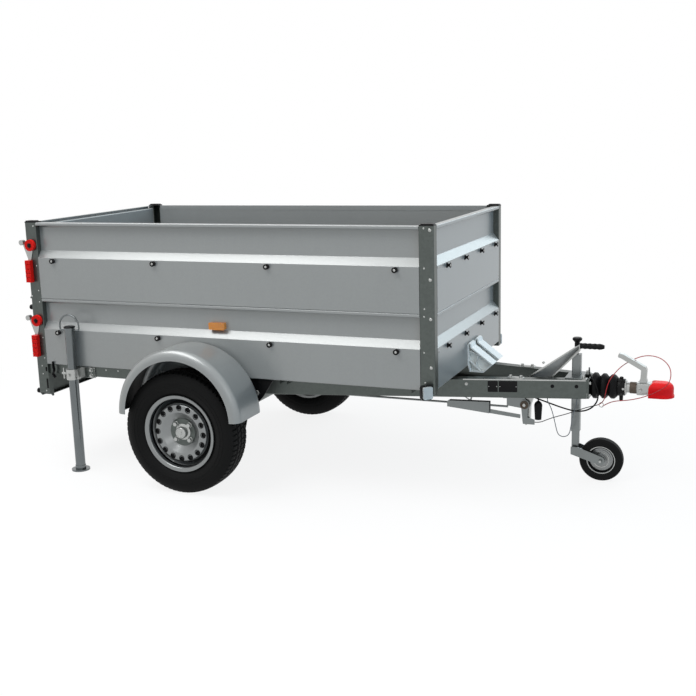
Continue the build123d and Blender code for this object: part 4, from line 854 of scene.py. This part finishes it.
class TRAILER_OT_cords(bpy.types.Operator):
    """Makes the lamp lead, the breakaway cable with its ring, and the brake wire"""

    bl_idname = "trailer.cords"
    bl_label = "Cords"

    def execute(self, context):
        middle, axis, *radii = BREAKAWAY_RING
        ring = bmesh.new()
        torus(ring, facing(middle, axis), *radii)
        ends = {
            "plug": frame["nodes"]["lamp_plug"],
            "fitting": add_piece("breakaway_ring", ring, "zinc_plated", "chassis"),
        }
        for name, node, slot, diameter, length, far_end, stiffness, lay, route in CORDS:
            curve = bpy.data.curves.new(name, "CURVE")
            curve.dimensions = "3D"
            curve.bevel_depth = diameter / 2
            curve.bevel_resolution = 4
            curve.use_fill_caps = True
            spline = curve.splines.new("NURBS")
            spline.points.add(len(route) - 1)
            for point, place in zip(spline.points, route):
                point.co = (*[value / 1000 for value in place], 1.0)
            spline.order_u = 3
            spline.use_endpoint_u = True
            spline.resolution_u = 12
            cord = bpy.data.objects.new(name, curve)
            context.scene.collection.objects.link(cord)
            curve.materials.append(finish_of(slot))
            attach(cord, "chassis")
            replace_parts(cord, node)
        return {"FINISHED"}


# Fixings of the corner posts, as X and Z on the side faces
FRONT_POST_BOLTS = ((0.58, 1.215), (0.58, 1.006), (0.58, 0.838), (0.58, 0.627))
FRONT_POST_RIVETS = (
    (0.553, 1.222), (0.553, 1.054), (0.553, 0.881), (0.551, 0.848), (0.549, 0.692), (0.553, 0.56),
)
REAR_POST_RIVETS = (
    (-1.452, 1.215), (-1.452, 1.02), (-1.452, 0.897), (-1.493, 0.868), (-1.452, 0.84), (-1.452, 0.66),
    (-1.452, 0.556), (-1.471, 0.514), (-1.469, 0.473), (-1.457, 0.386),
)
# Rivets at the ends of the front boards: Y, heights
FRONT_BOARD_Y = 0.517
FRONT_BOARD_RIVETS = (1.051, 0.877, 0.687)
# Radius and height of the heads
POST_BOLT = (0.0075, 0.0045)
RIVET = (0.004, 0.0022)
# Tops of the post caps
CAP_X = (0.565, -1.473)
CAP_Y = 0.5555
CAP_Z = 1.2368


class TRAILER_OT_post_fixings(bpy.types.Operator):
    """Adds bolts and rivets to the corner posts and boards, and the tops of the post caps"""

    bl_idname = "trailer.post_fixings"
    bl_label = "Post fixings"

    def execute(self, context):
        front_x, side_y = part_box("front_posts_upper")[1][:2]
        bolts, rivets, caps = bmesh.new(), bmesh.new(), bmesh.new()
        for sign in (-1, 1):
            for x, z in FRONT_POST_BOLTS:
                dome_bolt(bolts, outwards(x, side_y, z, sign), *POST_BOLT)
            for x, z in FRONT_POST_RIVETS + REAR_POST_RIVETS:
                dome_bolt(rivets, outwards(x, side_y, z, sign), *RIVET)
            for z in FRONT_BOARD_RIVETS:
                dome_bolt(rivets, facing((front_x, sign * FRONT_BOARD_Y, z), (1, 0, 0)), *RIVET)
        for x in CAP_X:
            for sign in (-1, 1):
                at = facing((x, sign * CAP_Y, CAP_Z), (0, 0, 1))
                slab(caps, rounded(0.056, 0.038, 0.006), at, 0.0045, 0.002)
        add_piece("post_bolts", bolts, "zinc_plated", "chassis")
        add_piece("post_rivets", rivets, "zinc_plated", "chassis")
        add_piece("post_cap_tops", caps, "black_plastic", "chassis")
        return {"FINISHED"}


# Bare plates on the right drawbar beam: X, width; their height on the beam and their thickness
BARE_PLATES = ((0.743, 0.046), (0.811, 0.084))
PLATE_Z = 0.4595
PLATE_THICK = 0.0012
# Plugs in the holes of the beams: X; radius and height of their outline
PLUGS_X = (1.006, 1.111)
BEAM_PLUG = ((0, 0.0008), (0.0062, 0.0008), (0.0078, 0.0016), (0.0086, 0))
# Clips on top of the beams: X, Y, length, width, and per bolt its shift along, size across and height
BEAM_TOP = 0.495
CLIP_THICK = 0.004
BEAM_CLIPS = (
    (0.84, 0.122, 0.075, 0.036, ((-0.024, 0.013, 0.008), (0.024, 0.013, 0.008))),
    (1.138, 0.058, 0.034, 0.03, ((0, 0.013, 0.009),)),
)
# Stays under the drawbar: X and Y of their outer ends, and the place where they meet
STAY_ENDS = ((0.609, -0.170), (0.643, -0.163))
STAY_Z = 0.4045
STAY_MEET = (0.604, -0.048, 0.353)


class TRAILER_OT_drawbar_trim(bpy.types.Operator):
    """Adds the bare black plates, bolts, plugs, clips and stays of the drawbar"""

    bl_idname = "trailer.drawbar_trim"
    bl_label = "Drawbar trim"

    def execute(self, context):
        plates, zinc, black = bmesh.new(), bmesh.new(), bmesh.new()
        for x, width in BARE_PLATES:
            at = on_beam(x, PLATE_Z)
            slab(plates, rounded(width, 0.052, 0.003), at, PLATE_THICK, 0.0004)
            for end in (-1, 1):
                rivet = at @ Matrix.Translation((end * (width / 2 - 0.005), 0, PLATE_THICK))
                dome_bolt(zinc, rivet, 0.0022, 0.0012)
        for side in (-1, 1):
            hex_bolt(zinc, on_beam(0.625, 0.47, side), 0.010, 0.005, 0.0075)
            for x in PLUGS_X:
                lathe(black, BEAM_PLUG, on_beam(x, 0.464, side), 24)
            for x, y, length, width, bolts in BEAM_CLIPS:
                top = facing((x, side * y, BEAM_TOP), (0, 0, 1))
                slab(zinc, rounded(length, width, 0.004), top, CLIP_THICK, 0.001)
                for shift, across, height in bolts:
                    hex_bolt(zinc, top @ Matrix.Translation((shift, 0, CLIP_THICK)), across, height, 0.010)
        for x, y in STAY_ENDS:
            bar(zinc, (x, y, STAY_Z), STAY_MEET, 0.008, 0.0025)
        add_piece("bare_plates", plates, "black_plastic", "chassis")
        add_piece("drawbar_bolts", zinc, "zinc_plated", "chassis")
        add_piece("beam_plugs", black, "black_rubber", "chassis")
        return {"FINISHED"}


# Bolts of the tow end on both sides: place, way out, size across, height, radius of the washer
TOW_BOLTS = (
    ((1.296, 0.034, 0.455), (0, 1), 0.011, 0.006, 0.0),
    ((1.311, 0.034, 0.455), (0, 1), 0.011, 0.006, 0.0),
    ((1.386, 0.029, 0.452), (0, 1), 0.013, 0.007, 0.0095),
    ((1.43, 0.029, 0.452), (0, 1), 0.013, 0.007, 0.0095),
    ((1.164, 0.062, 0.422), (1, 0), 0.011, 0.007, 0.0085),
    ((1.164, 0.062, 0.478), (1, 0), 0.011, 0.007, 0.0085),
)
# Sleeve of the collar and rusty band round the shaft: radius, distance forward of the collar
COLLAR = (1.284, 0, 0.455)
COLLAR_SLEEVE = (
    (0.0343, 0), (0.0395, 0.0005), (0.041, 0.003), (0.041, 0.016), (0.0385, 0.019), (0.0385, 0.030),
    (0.0375, 0.033), (0.0343, 0.033),
)
SHAFT_BAND = (
    (0.0241, 0.053), (0.0258, 0.0535), (0.0264, 0.056), (0.0264, 0.080), (0.0258, 0.0825), (0.0241, 0.083),
)
# Pegs of the collar: height of the foot, way up or down, length
COLLAR_X = 1.299
COLLAR_PEGS = ((0.418, -1, 0.027), (0.493, 1, 0.010))
# Pivot of the brake lever: X, Z; its washer; the painted web, forward of the pivot and above it
PIVOT_X, PIVOT_Z = 0.869, 0.356
PIVOT_WASHER = ((0, 0), (0.020, 0), (0.020, 0.0022), (0.0185, 0.003), (0.0095, 0.0034), (0, 0.0034))
LEVER_WEB = ((0.013, 0.092), (0.023, 0.127), (0.242, 0.286), (0.242, 0.271), (0.109, 0.126), (0.055, 0.070))
# Button in the end of the lever's grip: place, way, outline
BUTTON_PLACE = (0.953, -0.038, 0.552)
BUTTON_WAY = (-0.55, 0, 0.83)
BUTTON = ((0, 0), (0.006, 0), (0.006, 0.008), (0.0045, 0.0105), (0, 0.0105))
# Jockey wheel: middle, and rings on its disc as radius and distance outwards; the black ring in the groove is
# painted shade
JOCKEY_X, JOCKEY_Y, JOCKEY_Z = 1.215, 0.015, 0.1
JOCKEY_GROOVE_PAINTED_SHADE = ((0.0535, 0.0062), (0.0540, 0.0056), (0.0606, 0.0056), (0.0609, 0.0150))
JOCKEY_HUB = ((0.0330, 0.0103), (0.0338, 0.0122), (0.0372, 0.0126), (0.0380, 0.0103))
JOCKEY_FLANGE = ((0.0612, 0.0200), (0.0622, 0.0212), (0.0655, 0.0212), (0.0662, 0.0200))


class TRAILER_OT_tow_trim(bpy.types.Operator):
    """Adds bolts and small fittings of the coupling, brake gear and jockey wheel, and a black ring of painted
    shade on the jockey rim
    """

    bl_idname = "trailer.tow_trim"
    bl_label = "Tow end trim"

    def execute(self, context):
        zinc, dark, iron = bmesh.new(), bmesh.new(), bmesh.new()
        for sign in (-1, 1):
            for (x, y, z), (ahead, aside), *size in TOW_BOLTS:
                hex_bolt(zinc, facing((x, sign * y, z), (ahead, sign * aside, 0)), *size)
        shaft = facing(COLLAR, (1, 0, 0))
        lathe(dark, COLLAR_SLEEVE, shaft, 48)
        for z, way, length in COLLAR_PEGS:
            peg = [(0, 0), (0.009, 0), (0.0085, 0.85 * length), (0.006, length), (0, length)]
            lathe(dark, peg, facing((COLLAR_X, 0, z), (0, 0, way)))
        lathe(iron, SHAFT_BAND, shaft, 48)
        lathe(iron, PIVOT_WASHER, outwards(PIVOT_X, 0.07, PIVOT_Z, -1))
        hex_bolt(zinc, outwards(PIVOT_X, 0.0733, PIVOT_Z, -1), 0.015, 0.006)
        add_piece("tow_bolts", zinc, "zinc_plated", "chassis")
        add_piece("collar_sleeve", dark, "black_plastic", "chassis")
        add_piece("rusty_rings", iron, "drum_iron", "chassis")
        self.jockey_trim()
        self.lever_trim()
        return {"FINISHED"}

    def jockey_trim(self):
        nuts, rings, shade = bmesh.new(), bmesh.new(), bmesh.new()
        for sign in (-1, 1):
            out = (0, sign, 0)
            hex_bolt(nuts, facing((JOCKEY_X, JOCKEY_Y + sign * 0.041, JOCKEY_Z), out), 0.013, 0.006)
            hub = facing((JOCKEY_X, JOCKEY_Y, JOCKEY_Z), out)
            # Black ring of painted shade in the groove of the jockey rim
            lathe(shade, JOCKEY_GROOVE_PAINTED_SHADE, hub, 64)
            lathe(rings, JOCKEY_HUB, hub, 48)
            lathe(rings, JOCKEY_FLANGE, hub, 64)
        add_piece("jockey_nuts", nuts, "zinc_plated", "jockey_leg")
        add_piece("jockey_rings", rings, "zinc_plated", "jockey_wheel")
        add_piece("jockey_shade", shade, "black_rubber", "jockey_wheel")

    def lever_trim(self):
        web, button = bmesh.new(), bmesh.new()
        slab(web, LEVER_WEB, upright((PIVOT_X, -0.0271, PIVOT_Z)), 0.0008, 0.0003)
        lathe(button, BUTTON, facing(BUTTON_PLACE, BUTTON_WAY))
        add_piece("lever_web", web, "galvanised_sheet", "handbrake")
        add_piece("lever_button", button, "zinc_plated", "handbrake")


# Wheel chocks in their stowed place: outline and ribs, as X and Z from the place on the front board
CHOCK_X, CHOCK_Z = 0.5965, 0.525
CHOCK = (
    (0, 0.008), (0, 0.104), (0.007, 0.112), (0.017, 0.108), (0.020, 0.091), (0.122, 0.014),
    (0.078, -0.027), (0.010, -0.027),
)
CHOCK_RIBS = (
    ((0.004, 0.030), (0.062, -0.024)), ((0.008, 0.072), (0.074, 0.046)), ((0.036, 0.002), (0.052, 0.062)),
)
CHOCK_Y = (-0.033, 0.0915)
CHOCK_WIDTH = 0.076
CHOCK_WALL = 0.006
# Half the thickness of the web across a chock's middle
CHOCK_WEB = 0.002


def inset(outline, wall):
    """The outline moved inwards by a wall; the outline runs clockwise."""
    moved = []
    for i, here in enumerate(outline):
        before = (Vector(here) - Vector(outline[i - 1])).normalized()
        after = (Vector(outline[(i + 1) % len(outline)]) - Vector(here)).normalized()
        inward = Vector((before.y, -before.x)) + Vector((after.y, -after.x))
        moved.append(Vector(here) + inward * (2 * wall / inward.length_squared))
    return moved


def chock(bm, middle):
    """A hollow moulded wedge: a wall all round, a web across its middle and ribs."""

    def place(point, y):
        return (CHOCK_X + point[0], middle + y, CHOCK_Z + point[1])

    inner = inset(CHOCK, CHOCK_WALL)
    near_out, near_in, far_out, far_in = (
        [bm.verts.new(place(point, side * CHOCK_WIDTH / 2)) for point in line]
        for side in (-1, 1)
        for line in (CHOCK, inner)
    )
    for i in range(len(CHOCK)):
        j = (i + 1) % len(CHOCK)
        for one, two in ((near_out, near_in), (far_out, far_in), (near_out, far_out), (near_in, far_in)):
            bm.faces.new((one[i], one[j], two[j], two[i]))
    for level in (-CHOCK_WEB, CHOCK_WEB):
        bm.faces.new([bm.verts.new(place(point, level)) for point in inner])
    for start, end in CHOCK_RIBS:
        bar(bm, place(start, 0), place(end, 0), CHOCK_WIDTH - 2 * CHOCK_WALL, 0.004)


class TRAILER_OT_chocks(bpy.types.Operator):
    """Draws the wheel chocks over their CAD solids"""

    bl_idname = "trailer.chocks"
    bl_label = "Wheel chocks"

    def execute(self, context):
        bm = bmesh.new()
        for y in CHOCK_Y:
            chock(bm, y)
        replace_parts(add_piece("chock_mouldings", bm, "white_plastic", "chassis"), "wheel_chocks")
        return {"FINISHED"}


# Strips that close the rails along the boards' tops: heights of the tops, drop to the strip's middle
BOARD_TOPS = (0.857, 1.232)
STRIP_DROP = 0.0122
STRIP_HEIGHT, STRIP_THICK = 0.0236, 0.0088
# Middle and length of a strip along the side and across the front
SIDE_STRIP = (-0.454, 0.5437, 1.96)
FRONT_STRIP = (0.5622, 1.03)
# Painted shade under a mudguard, as black sheets: X and Z of the arch's middle, radii of its two faces,
# distances across
GUARD_X, GUARD_Z = -0.553, 0.371
GUARD_SHADE_RADII = (0.3150, 0.3140)
GUARD_SHADE_Y = (0.632, 0.66, 0.70, 0.74, 0.782)
GUARD_SHADE_STEPS = 60
# Plate that carries a trailing arm: its place, its outline and bolts forward of the place and above it
ARM_X, ARM_Z = -0.38, 0.40
AXLE_PLATE = ((-0.05, 0.12), (0.19, 0.12), (0.13, 0.03), (0.05, -0.05), (0.02, -0.17), (-0.04, -0.17))
AXLE_PLATE_BOLTS = ((0.02, 0.05), (0.10, 0.05))
# Round edge along the top of a drawbar beam, in bright zinc as a painted highlight: its ends and its radius
HIGHLIGHT_EDGE_ENDS = (0.61, 1.15)
HIGHLIGHT_EDGE_RADIUS = 0.0035


def rail_strips(bm):
    """Strips along the inside of the boards' tops."""
    ahead = Matrix(((0, 0, 1), (1, 0, 0), (0, 1, 0))).to_4x4()
    for top in BOARD_TOPS:
        z = top - STRIP_DROP
        x, y, length = SIDE_STRIP
        for sign in (-1, 1):
            at = upright((x, sign * y, z), sign)
            slab(bm, rounded(length, STRIP_HEIGHT, 0.001, 2), at, STRIP_THICK, 0.0003)
        x, length = FRONT_STRIP
        at = Matrix.Translation((x, 0, z)) @ ahead
        slab(bm, rounded(length, STRIP_HEIGHT, 0.001, 2), at, STRIP_THICK, 0.0003)


def guard_undercoat(bm):
    """Two thin black faces under the arch of each mudguard: painted shade of its underside."""
    for sign in (-1, 1):
        for r in GUARD_SHADE_RADII:
            rows = []
            for i in range(GUARD_SHADE_STEPS + 1):
                turn = radians(2 + 176 * i / GUARD_SHADE_STEPS)
                x, z = GUARD_X + r * cos(turn), GUARD_Z + r * sin(turn)
                rows.append([bm.verts.new((x, sign * y, z)) for y in GUARD_SHADE_Y])
            for low, high in zip(rows, rows[1:]):
                for k in range(len(GUARD_SHADE_Y) - 1):
                    bm.faces.new((low[k], low[k + 1], high[k + 1], high[k]))


def axle_plates(bm, bolts):
    """Plates inside the side rails, with their bolts."""
    for sign in (-1, 1):
        outline = [(x * -sign, z) for x, z in AXLE_PLATE]
        slab(bm, outline, upright((ARM_X, sign * 0.540, ARM_Z), sign), 0.005, 0.001)
        for x, z in AXLE_PLATE_BOLTS:
            hex_bolt(bolts, outwards(ARM_X + x, 0.545, ARM_Z + z, sign), 0.017, 0.008, 0.012)


def beam_edges(bm):
    """Round edges along the outer tops of the drawbar beams, in bright zinc as a painted highlight."""
    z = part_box("drawbar_beam_right")[1][2] - HIGHLIGHT_EDGE_RADIUS
    for side in (-1, 1):
        start, end = (on_beam(x, z, side).translation for x in HIGHLIGHT_EDGE_ENDS)
        length = (end - start).length
        profile = [(0, 0), (HIGHLIGHT_EDGE_RADIUS, 0), (HIGHLIGHT_EDGE_RADIUS, length), (0, length)]
        lathe(bm, profile, facing(start, end - start), 12)


class TRAILER_OT_liners(bpy.types.Operator):
    """Adds the strips in the boards' rails, black sheets of painted shade under the guards, the axle plates,
    and the beams' round edges with a painted highlight
    """

    bl_idname = "trailer.liners"
    bl_label = "Liners"

    def execute(self, context):
        strips, coat, plates, bolts, edges = (bmesh.new() for _ in range(5))
        rail_strips(strips)
        guard_undercoat(coat)
        axle_plates(plates, bolts)
        beam_edges(edges)
        add_piece("rail_strips", strips, "galvanised_sheet", "chassis")
        # Black sheets of painted shade under the mudguards
        add_piece("guard_undercoat", coat, "black_rubber", "chassis")
        add_piece("axle_plates", plates, "black_plastic", "chassis")
        add_piece("axle_plate_bolts", bolts, "zinc_plated", "chassis")
        # Round beam edges in bright zinc: a painted highlight along the beams' tops
        add_piece("beam_edges", edges, "zinc_plated", "chassis")
        return {"FINISHED"}


# Tail gates: body, Y of the hinge leaves, height of the lower edge
GATES = (("tailgate_lower", 0.4, 0.51), ("tailgate_upper", 0.4995, 0.856))
# Prop stands: X, Y, height of the tube's top; plug in the top as radius and height
STAND_X, STAND_Y, STAND_TOP = -1.259, 0.612, 0.7252
STAND_CAP = (
    (0, 0), (0.0275, 0), (0.0280, 0.0015), (0.0280, 0.0045), (0.0262, 0.0065), (0.0080, 0.0070), (0, 0.0068),
)
# Middle height of the stand clamps
CLAMP_Z = 0.494
# Rubber strap beside a rear post, as X and Z of its bends, and its Y
STRAP = ((-1.398, 0.541), (-1.400, 0.520), (-1.396, 0.498), (-1.404, 0.476), (-1.392, 0.459))
STRAP_Y = 0.582
# Rubber stops on a rear post and screws of a side marker: Z and height, X
POST_STOPS = ((0.498, 0.022), (0.424, 0.050))
MARKER_SCREWS_X = (-1.098, -1.028)
# Heights of the toggle latches' middles and of the bolts of a clamp pad
LATCHES_Z = (1.122, 0.747)
PAD_BOLTS_Z = (0.48, 0.508)


class TRAILER_OT_rear_trim(bpy.types.Operator):
    """Adds bolts of the gate hinges and stand clamps, latch centres, straps and stand plugs"""

    bl_idname = "trailer.rear_trim"
    bl_label = "Rear trim"

    def execute(self, context):
        rear_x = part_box("rear_posts_upper")[0][0]
        for gate, hinge_y, base in GATES:
            bolts = bmesh.new()
            for sign in (-1, 1):
                for shift in (-0.013, 0.013):
                    at = facing((rear_x - 0.004, sign * hinge_y + shift, base + 0.047), (-1, 0, 0))
                    dome_bolt(bolts, at, 0.006, 0.0035)
            add_piece(f"{gate}_bolts", bolts, "zinc_plated", gate)
        bolts, black, dark = bmesh.new(), bmesh.new(), bmesh.new()
        for side, sign in SIDES:
            pad = upright((-1.191, sign * 0.5694, CLAMP_Z), sign)
            slab(dark, rounded(0.054, 0.046, 0.003), pad, 0.003, 0.001)
            hex_bolt(bolts, outwards(STAND_X, 0.6445, CLAMP_Z, sign), 0.013, 0.007, 0.011)
            for z, height in POST_STOPS:
                stop = upright((-1.447, sign * 0.5772, z), sign)
                slab(black, rounded(0.009, height, 0.002), stop, 0.002, 0.0006)
            for x in MARKER_SCREWS_X:
                dome_bolt(bolts, outwards(x, 0.5635, 0.511, sign), 0.0045, 0.002)
            for z in LATCHES_Z:
                dome_bolt(black, outwards(-1.47, 0.5975, z, sign), 0.0115, 0.005)
            for z in PAD_BOLTS_Z:
                hex_bolt(bolts, outwards(-1.180, 0.5720, z, sign), 0.014, 0.008, 0.011)
            bends = [(x, sign * STRAP_Y, z) for x, z in STRAP]
            for low, high in zip(bends, bends[1:]):
                bar(black, low, high, 0.016, 0.007)
            cap = bmesh.new()
            lathe(cap, STAND_CAP, facing((STAND_X, sign * STAND_Y, STAND_TOP), (0, 0, 1)), 40)
            add_piece(f"stand_cap_{side}", cap, "black_plastic", f"stand_{side}")
        add_piece("rear_bolts", bolts, "zinc_plated", "chassis")
        add_piece("clamp_pads", dark, "galvanised_frame", "chassis")
        add_piece("rear_straps", black, "black_rubber", "chassis")
        return {"FINISHED"}


# Stage

WHITE = rgb(1, 1, 1)
# Light from the surroundings: from above, and from low down behind and ahead
SKY = rgb(0.95, 0.98, 1.0)
LOW_BEHIND = rgb(0.34, 0.335, 0.325)
LOW_AHEAD = rgb(0.55, 0.9, 1.2)
# Floor: what it throws back behind and ahead, and the tint that takes the shadow
FLOOR_BEHIND = rgb(0.13, 0.128, 0.122)
FLOOR_AHEAD = rgb(0.3, 0.36, 0.4)
FLOOR_SHADOW = rgb(0.9, 0.9, 0.9)
# Name, place, aim, length and width, tint
LIGHTS = (
    ("overhead", (-1.85, -1.72, 4.2), (-0.6, -0.5, 0.8), (4.2, 1.8), (1.0, 1.0, 1.0)),
    ("back", (2.0, 4.6, 2.8), (0.6, 0.0, 1.0), (2.6, 1.8), (0.78, 0.93, 1.0)),
    ("fill", (3.2, -5.0, 2.6), (0.2, 0.0, 0.5), (3.0, 2.0), (1.0, 1.0, 1.0)),
)


class TRAILER_OT_stage(bpy.types.Operator):
    """Sets the camera, floor, surroundings and lights"""

    bl_idname = "trailer.stage"
    bl_label = "Stage"

    def execute(self, context):
        s = context.scene.trailer.stage
        scene = context.scene
        yaw, pitch, roll = radians(s.yaw), radians(s.pitch), radians(s.roll)
        forward = Vector((-sin(yaw) * cos(pitch), cos(yaw) * cos(pitch), -sin(pitch)))
        level = Vector((cos(yaw), sin(yaw), 0))
        above = level.cross(forward)
        right = cos(roll) * level + sin(roll) * above
        up = cos(roll) * above - sin(roll) * level
        camera = bpy.data.objects.new("camera", bpy.data.cameras.new("camera"))
        turn = Matrix((right, up, -forward)).transposed().to_4x4()
        camera.matrix_world = Matrix.Translation(Vector(s.camera)) @ turn
        camera.data.lens = s.lens
        camera.data.sensor_width = 36.0
        scene.collection.objects.link(camera)
        scene.camera = camera
        scene.view_settings.view_transform = "Standard"
        self.surroundings(scene)
        self.floor(scene)
        for name, place, aim, size, colour in LIGHTS:
            self.light(scene, name, place, aim, getattr(s, name), size, colour)
        return {"FINISHED"}

    def backdrop_rays(self, g):
        """One for rays that show the white backdrop: from the camera, or by way of metal or glass."""
        camera = g.node("ShaderNodeLightPath", out="Is Camera Ray")
        rays = camera + camera.sibling("Is Glossy Ray") + camera.sibling("Is Transmission Ray")
        return g.node("ShaderNodeClamp", {}, {"Value": rays})

    def surroundings(self, scene):
        world = bpy.data.worlds.new("studio")
        g = Graph(world)
        way = g.node("ShaderNodeTexCoord", out="Generated")
        ahead = g.node("ShaderNodeSeparateXYZ", {}, {"Vector": way}, "X")
        low = g.mix(g.ramp(ahead, 0.0, 0.8), LOW_BEHIND, LOW_AHEAD)
        sky = g.mix(g.ramp(ahead.sibling("Z"), 0.1, 0.8), low, SKY)
        shade = g.node("ShaderNodeBackground", {}, {"Color": g.mix(self.backdrop_rays(g), sky, WHITE)})
        g.node("ShaderNodeOutputWorld", {}, {"Surface": shade})
        scene.world = world

    def floor(self, scene):
        mesh = bpy.data.meshes.new("floor")
        mesh.from_pydata([(-30, -30, 0), (30, -30, 0), (30, 30, 0), (-30, 30, 0)], [], [(0, 1, 2, 3)])
        floor = bpy.data.objects.new("floor", mesh)
        scene.collection.objects.link(floor)
        g = new_graph("floor")
        place = g.place()
        ahead = g.node("ShaderNodeSeparateXYZ", {}, {"Vector": place}, "X")
        bounce = g.mix(g.ramp(ahead, 0.0, 2.5), FLOOR_BEHIND, FLOOR_AHEAD)
        lit = g.node("ShaderNodeBsdfDiffuse", {}, {"Color": bounce})
        pale = g.node("ShaderNodeBsdfDiffuse", {}, {"Color": FLOOR_SHADOW})
        white = g.node("ShaderNodeEmission", {}, {"Color": WHITE, "Strength": 1.0})
        away = g.node("ShaderNodeVectorMath", {"operation": "LENGTH"}, {0: place}, "Value")
        clear = g.ramp(away, 1.6, 3.4, 0.86, 1.0)
        shown = g.node("ShaderNodeMixShader", {}, {"Fac": clear, 1: pale, 2: white})
        shader = g.node("ShaderNodeMixShader", {}, {"Fac": self.backdrop_rays(g), 1: lit, 2: shown})
        g.node("ShaderNodeOutputMaterial", {}, {"Surface": shader})
        mesh.materials.append(bpy.data.materials["floor"])

    def light(self, scene, name, place, aim, power, size, colour):
        data = bpy.data.lights.new(name, "AREA")
        data.energy = power
        data.color = colour
        data.shape = "RECTANGLE"
        data.size, data.size_y = size
        lamp = bpy.data.objects.new(name, data)
        way = Vector(aim) - Vector(place)
        lamp.matrix_world = Matrix.Translation(place) @ way.to_track_quat("-Z", "Y").to_matrix().to_4x4()
        scene.collection.objects.link(lamp)

OPERATORS = (
    TRAILER_OT_stage,
    TRAILER_OT_finishes,
    TRAILER_OT_tyres,
    TRAILER_OT_wheel_bolts,
    TRAILER_OT_knobs,
    TRAILER_OT_cords,
    TRAILER_OT_post_fixings,
    TRAILER_OT_drawbar_trim,
    TRAILER_OT_tow_trim,
    TRAILER_OT_chocks,
    TRAILER_OT_liners,
    TRAILER_OT_rear_trim,
)


class TRAILER_PT_panel(bpy.types.Panel):
    """Buttons for the trailer's pieces"""

    bl_idname = "TRAILER_PT_panel"
    bl_label = "Trailer"
    bl_space_type = "VIEW_3D"
    bl_region_type = "UI"
    bl_category = "Trailer"

    def draw(self, context):
        for operator in OPERATORS:
            self.layout.operator(operator.bl_idname)


SETTINGS = (FinishSettings, TyreSettings, KnobSettings, StageSettings, TrailerSettings)
CLASSES = (*SETTINGS, *OPERATORS, TRAILER_PT_panel)


def register():
    for cls in CLASSES:
        bpy.utils.register_class(cls)
    bpy.types.Scene.trailer = PointerProperty(type=TrailerSettings)


def unregister():
    del bpy.types.Scene.trailer
    for cls in reversed(CLASSES):
        bpy.utils.unregister_class(cls)


def main():
    register()
    for operator in OPERATORS:
        group, name = operator.bl_idname.split(".")
        getattr(getattr(bpy.ops, group), name)()


if __name__ == "__main__":
    main()
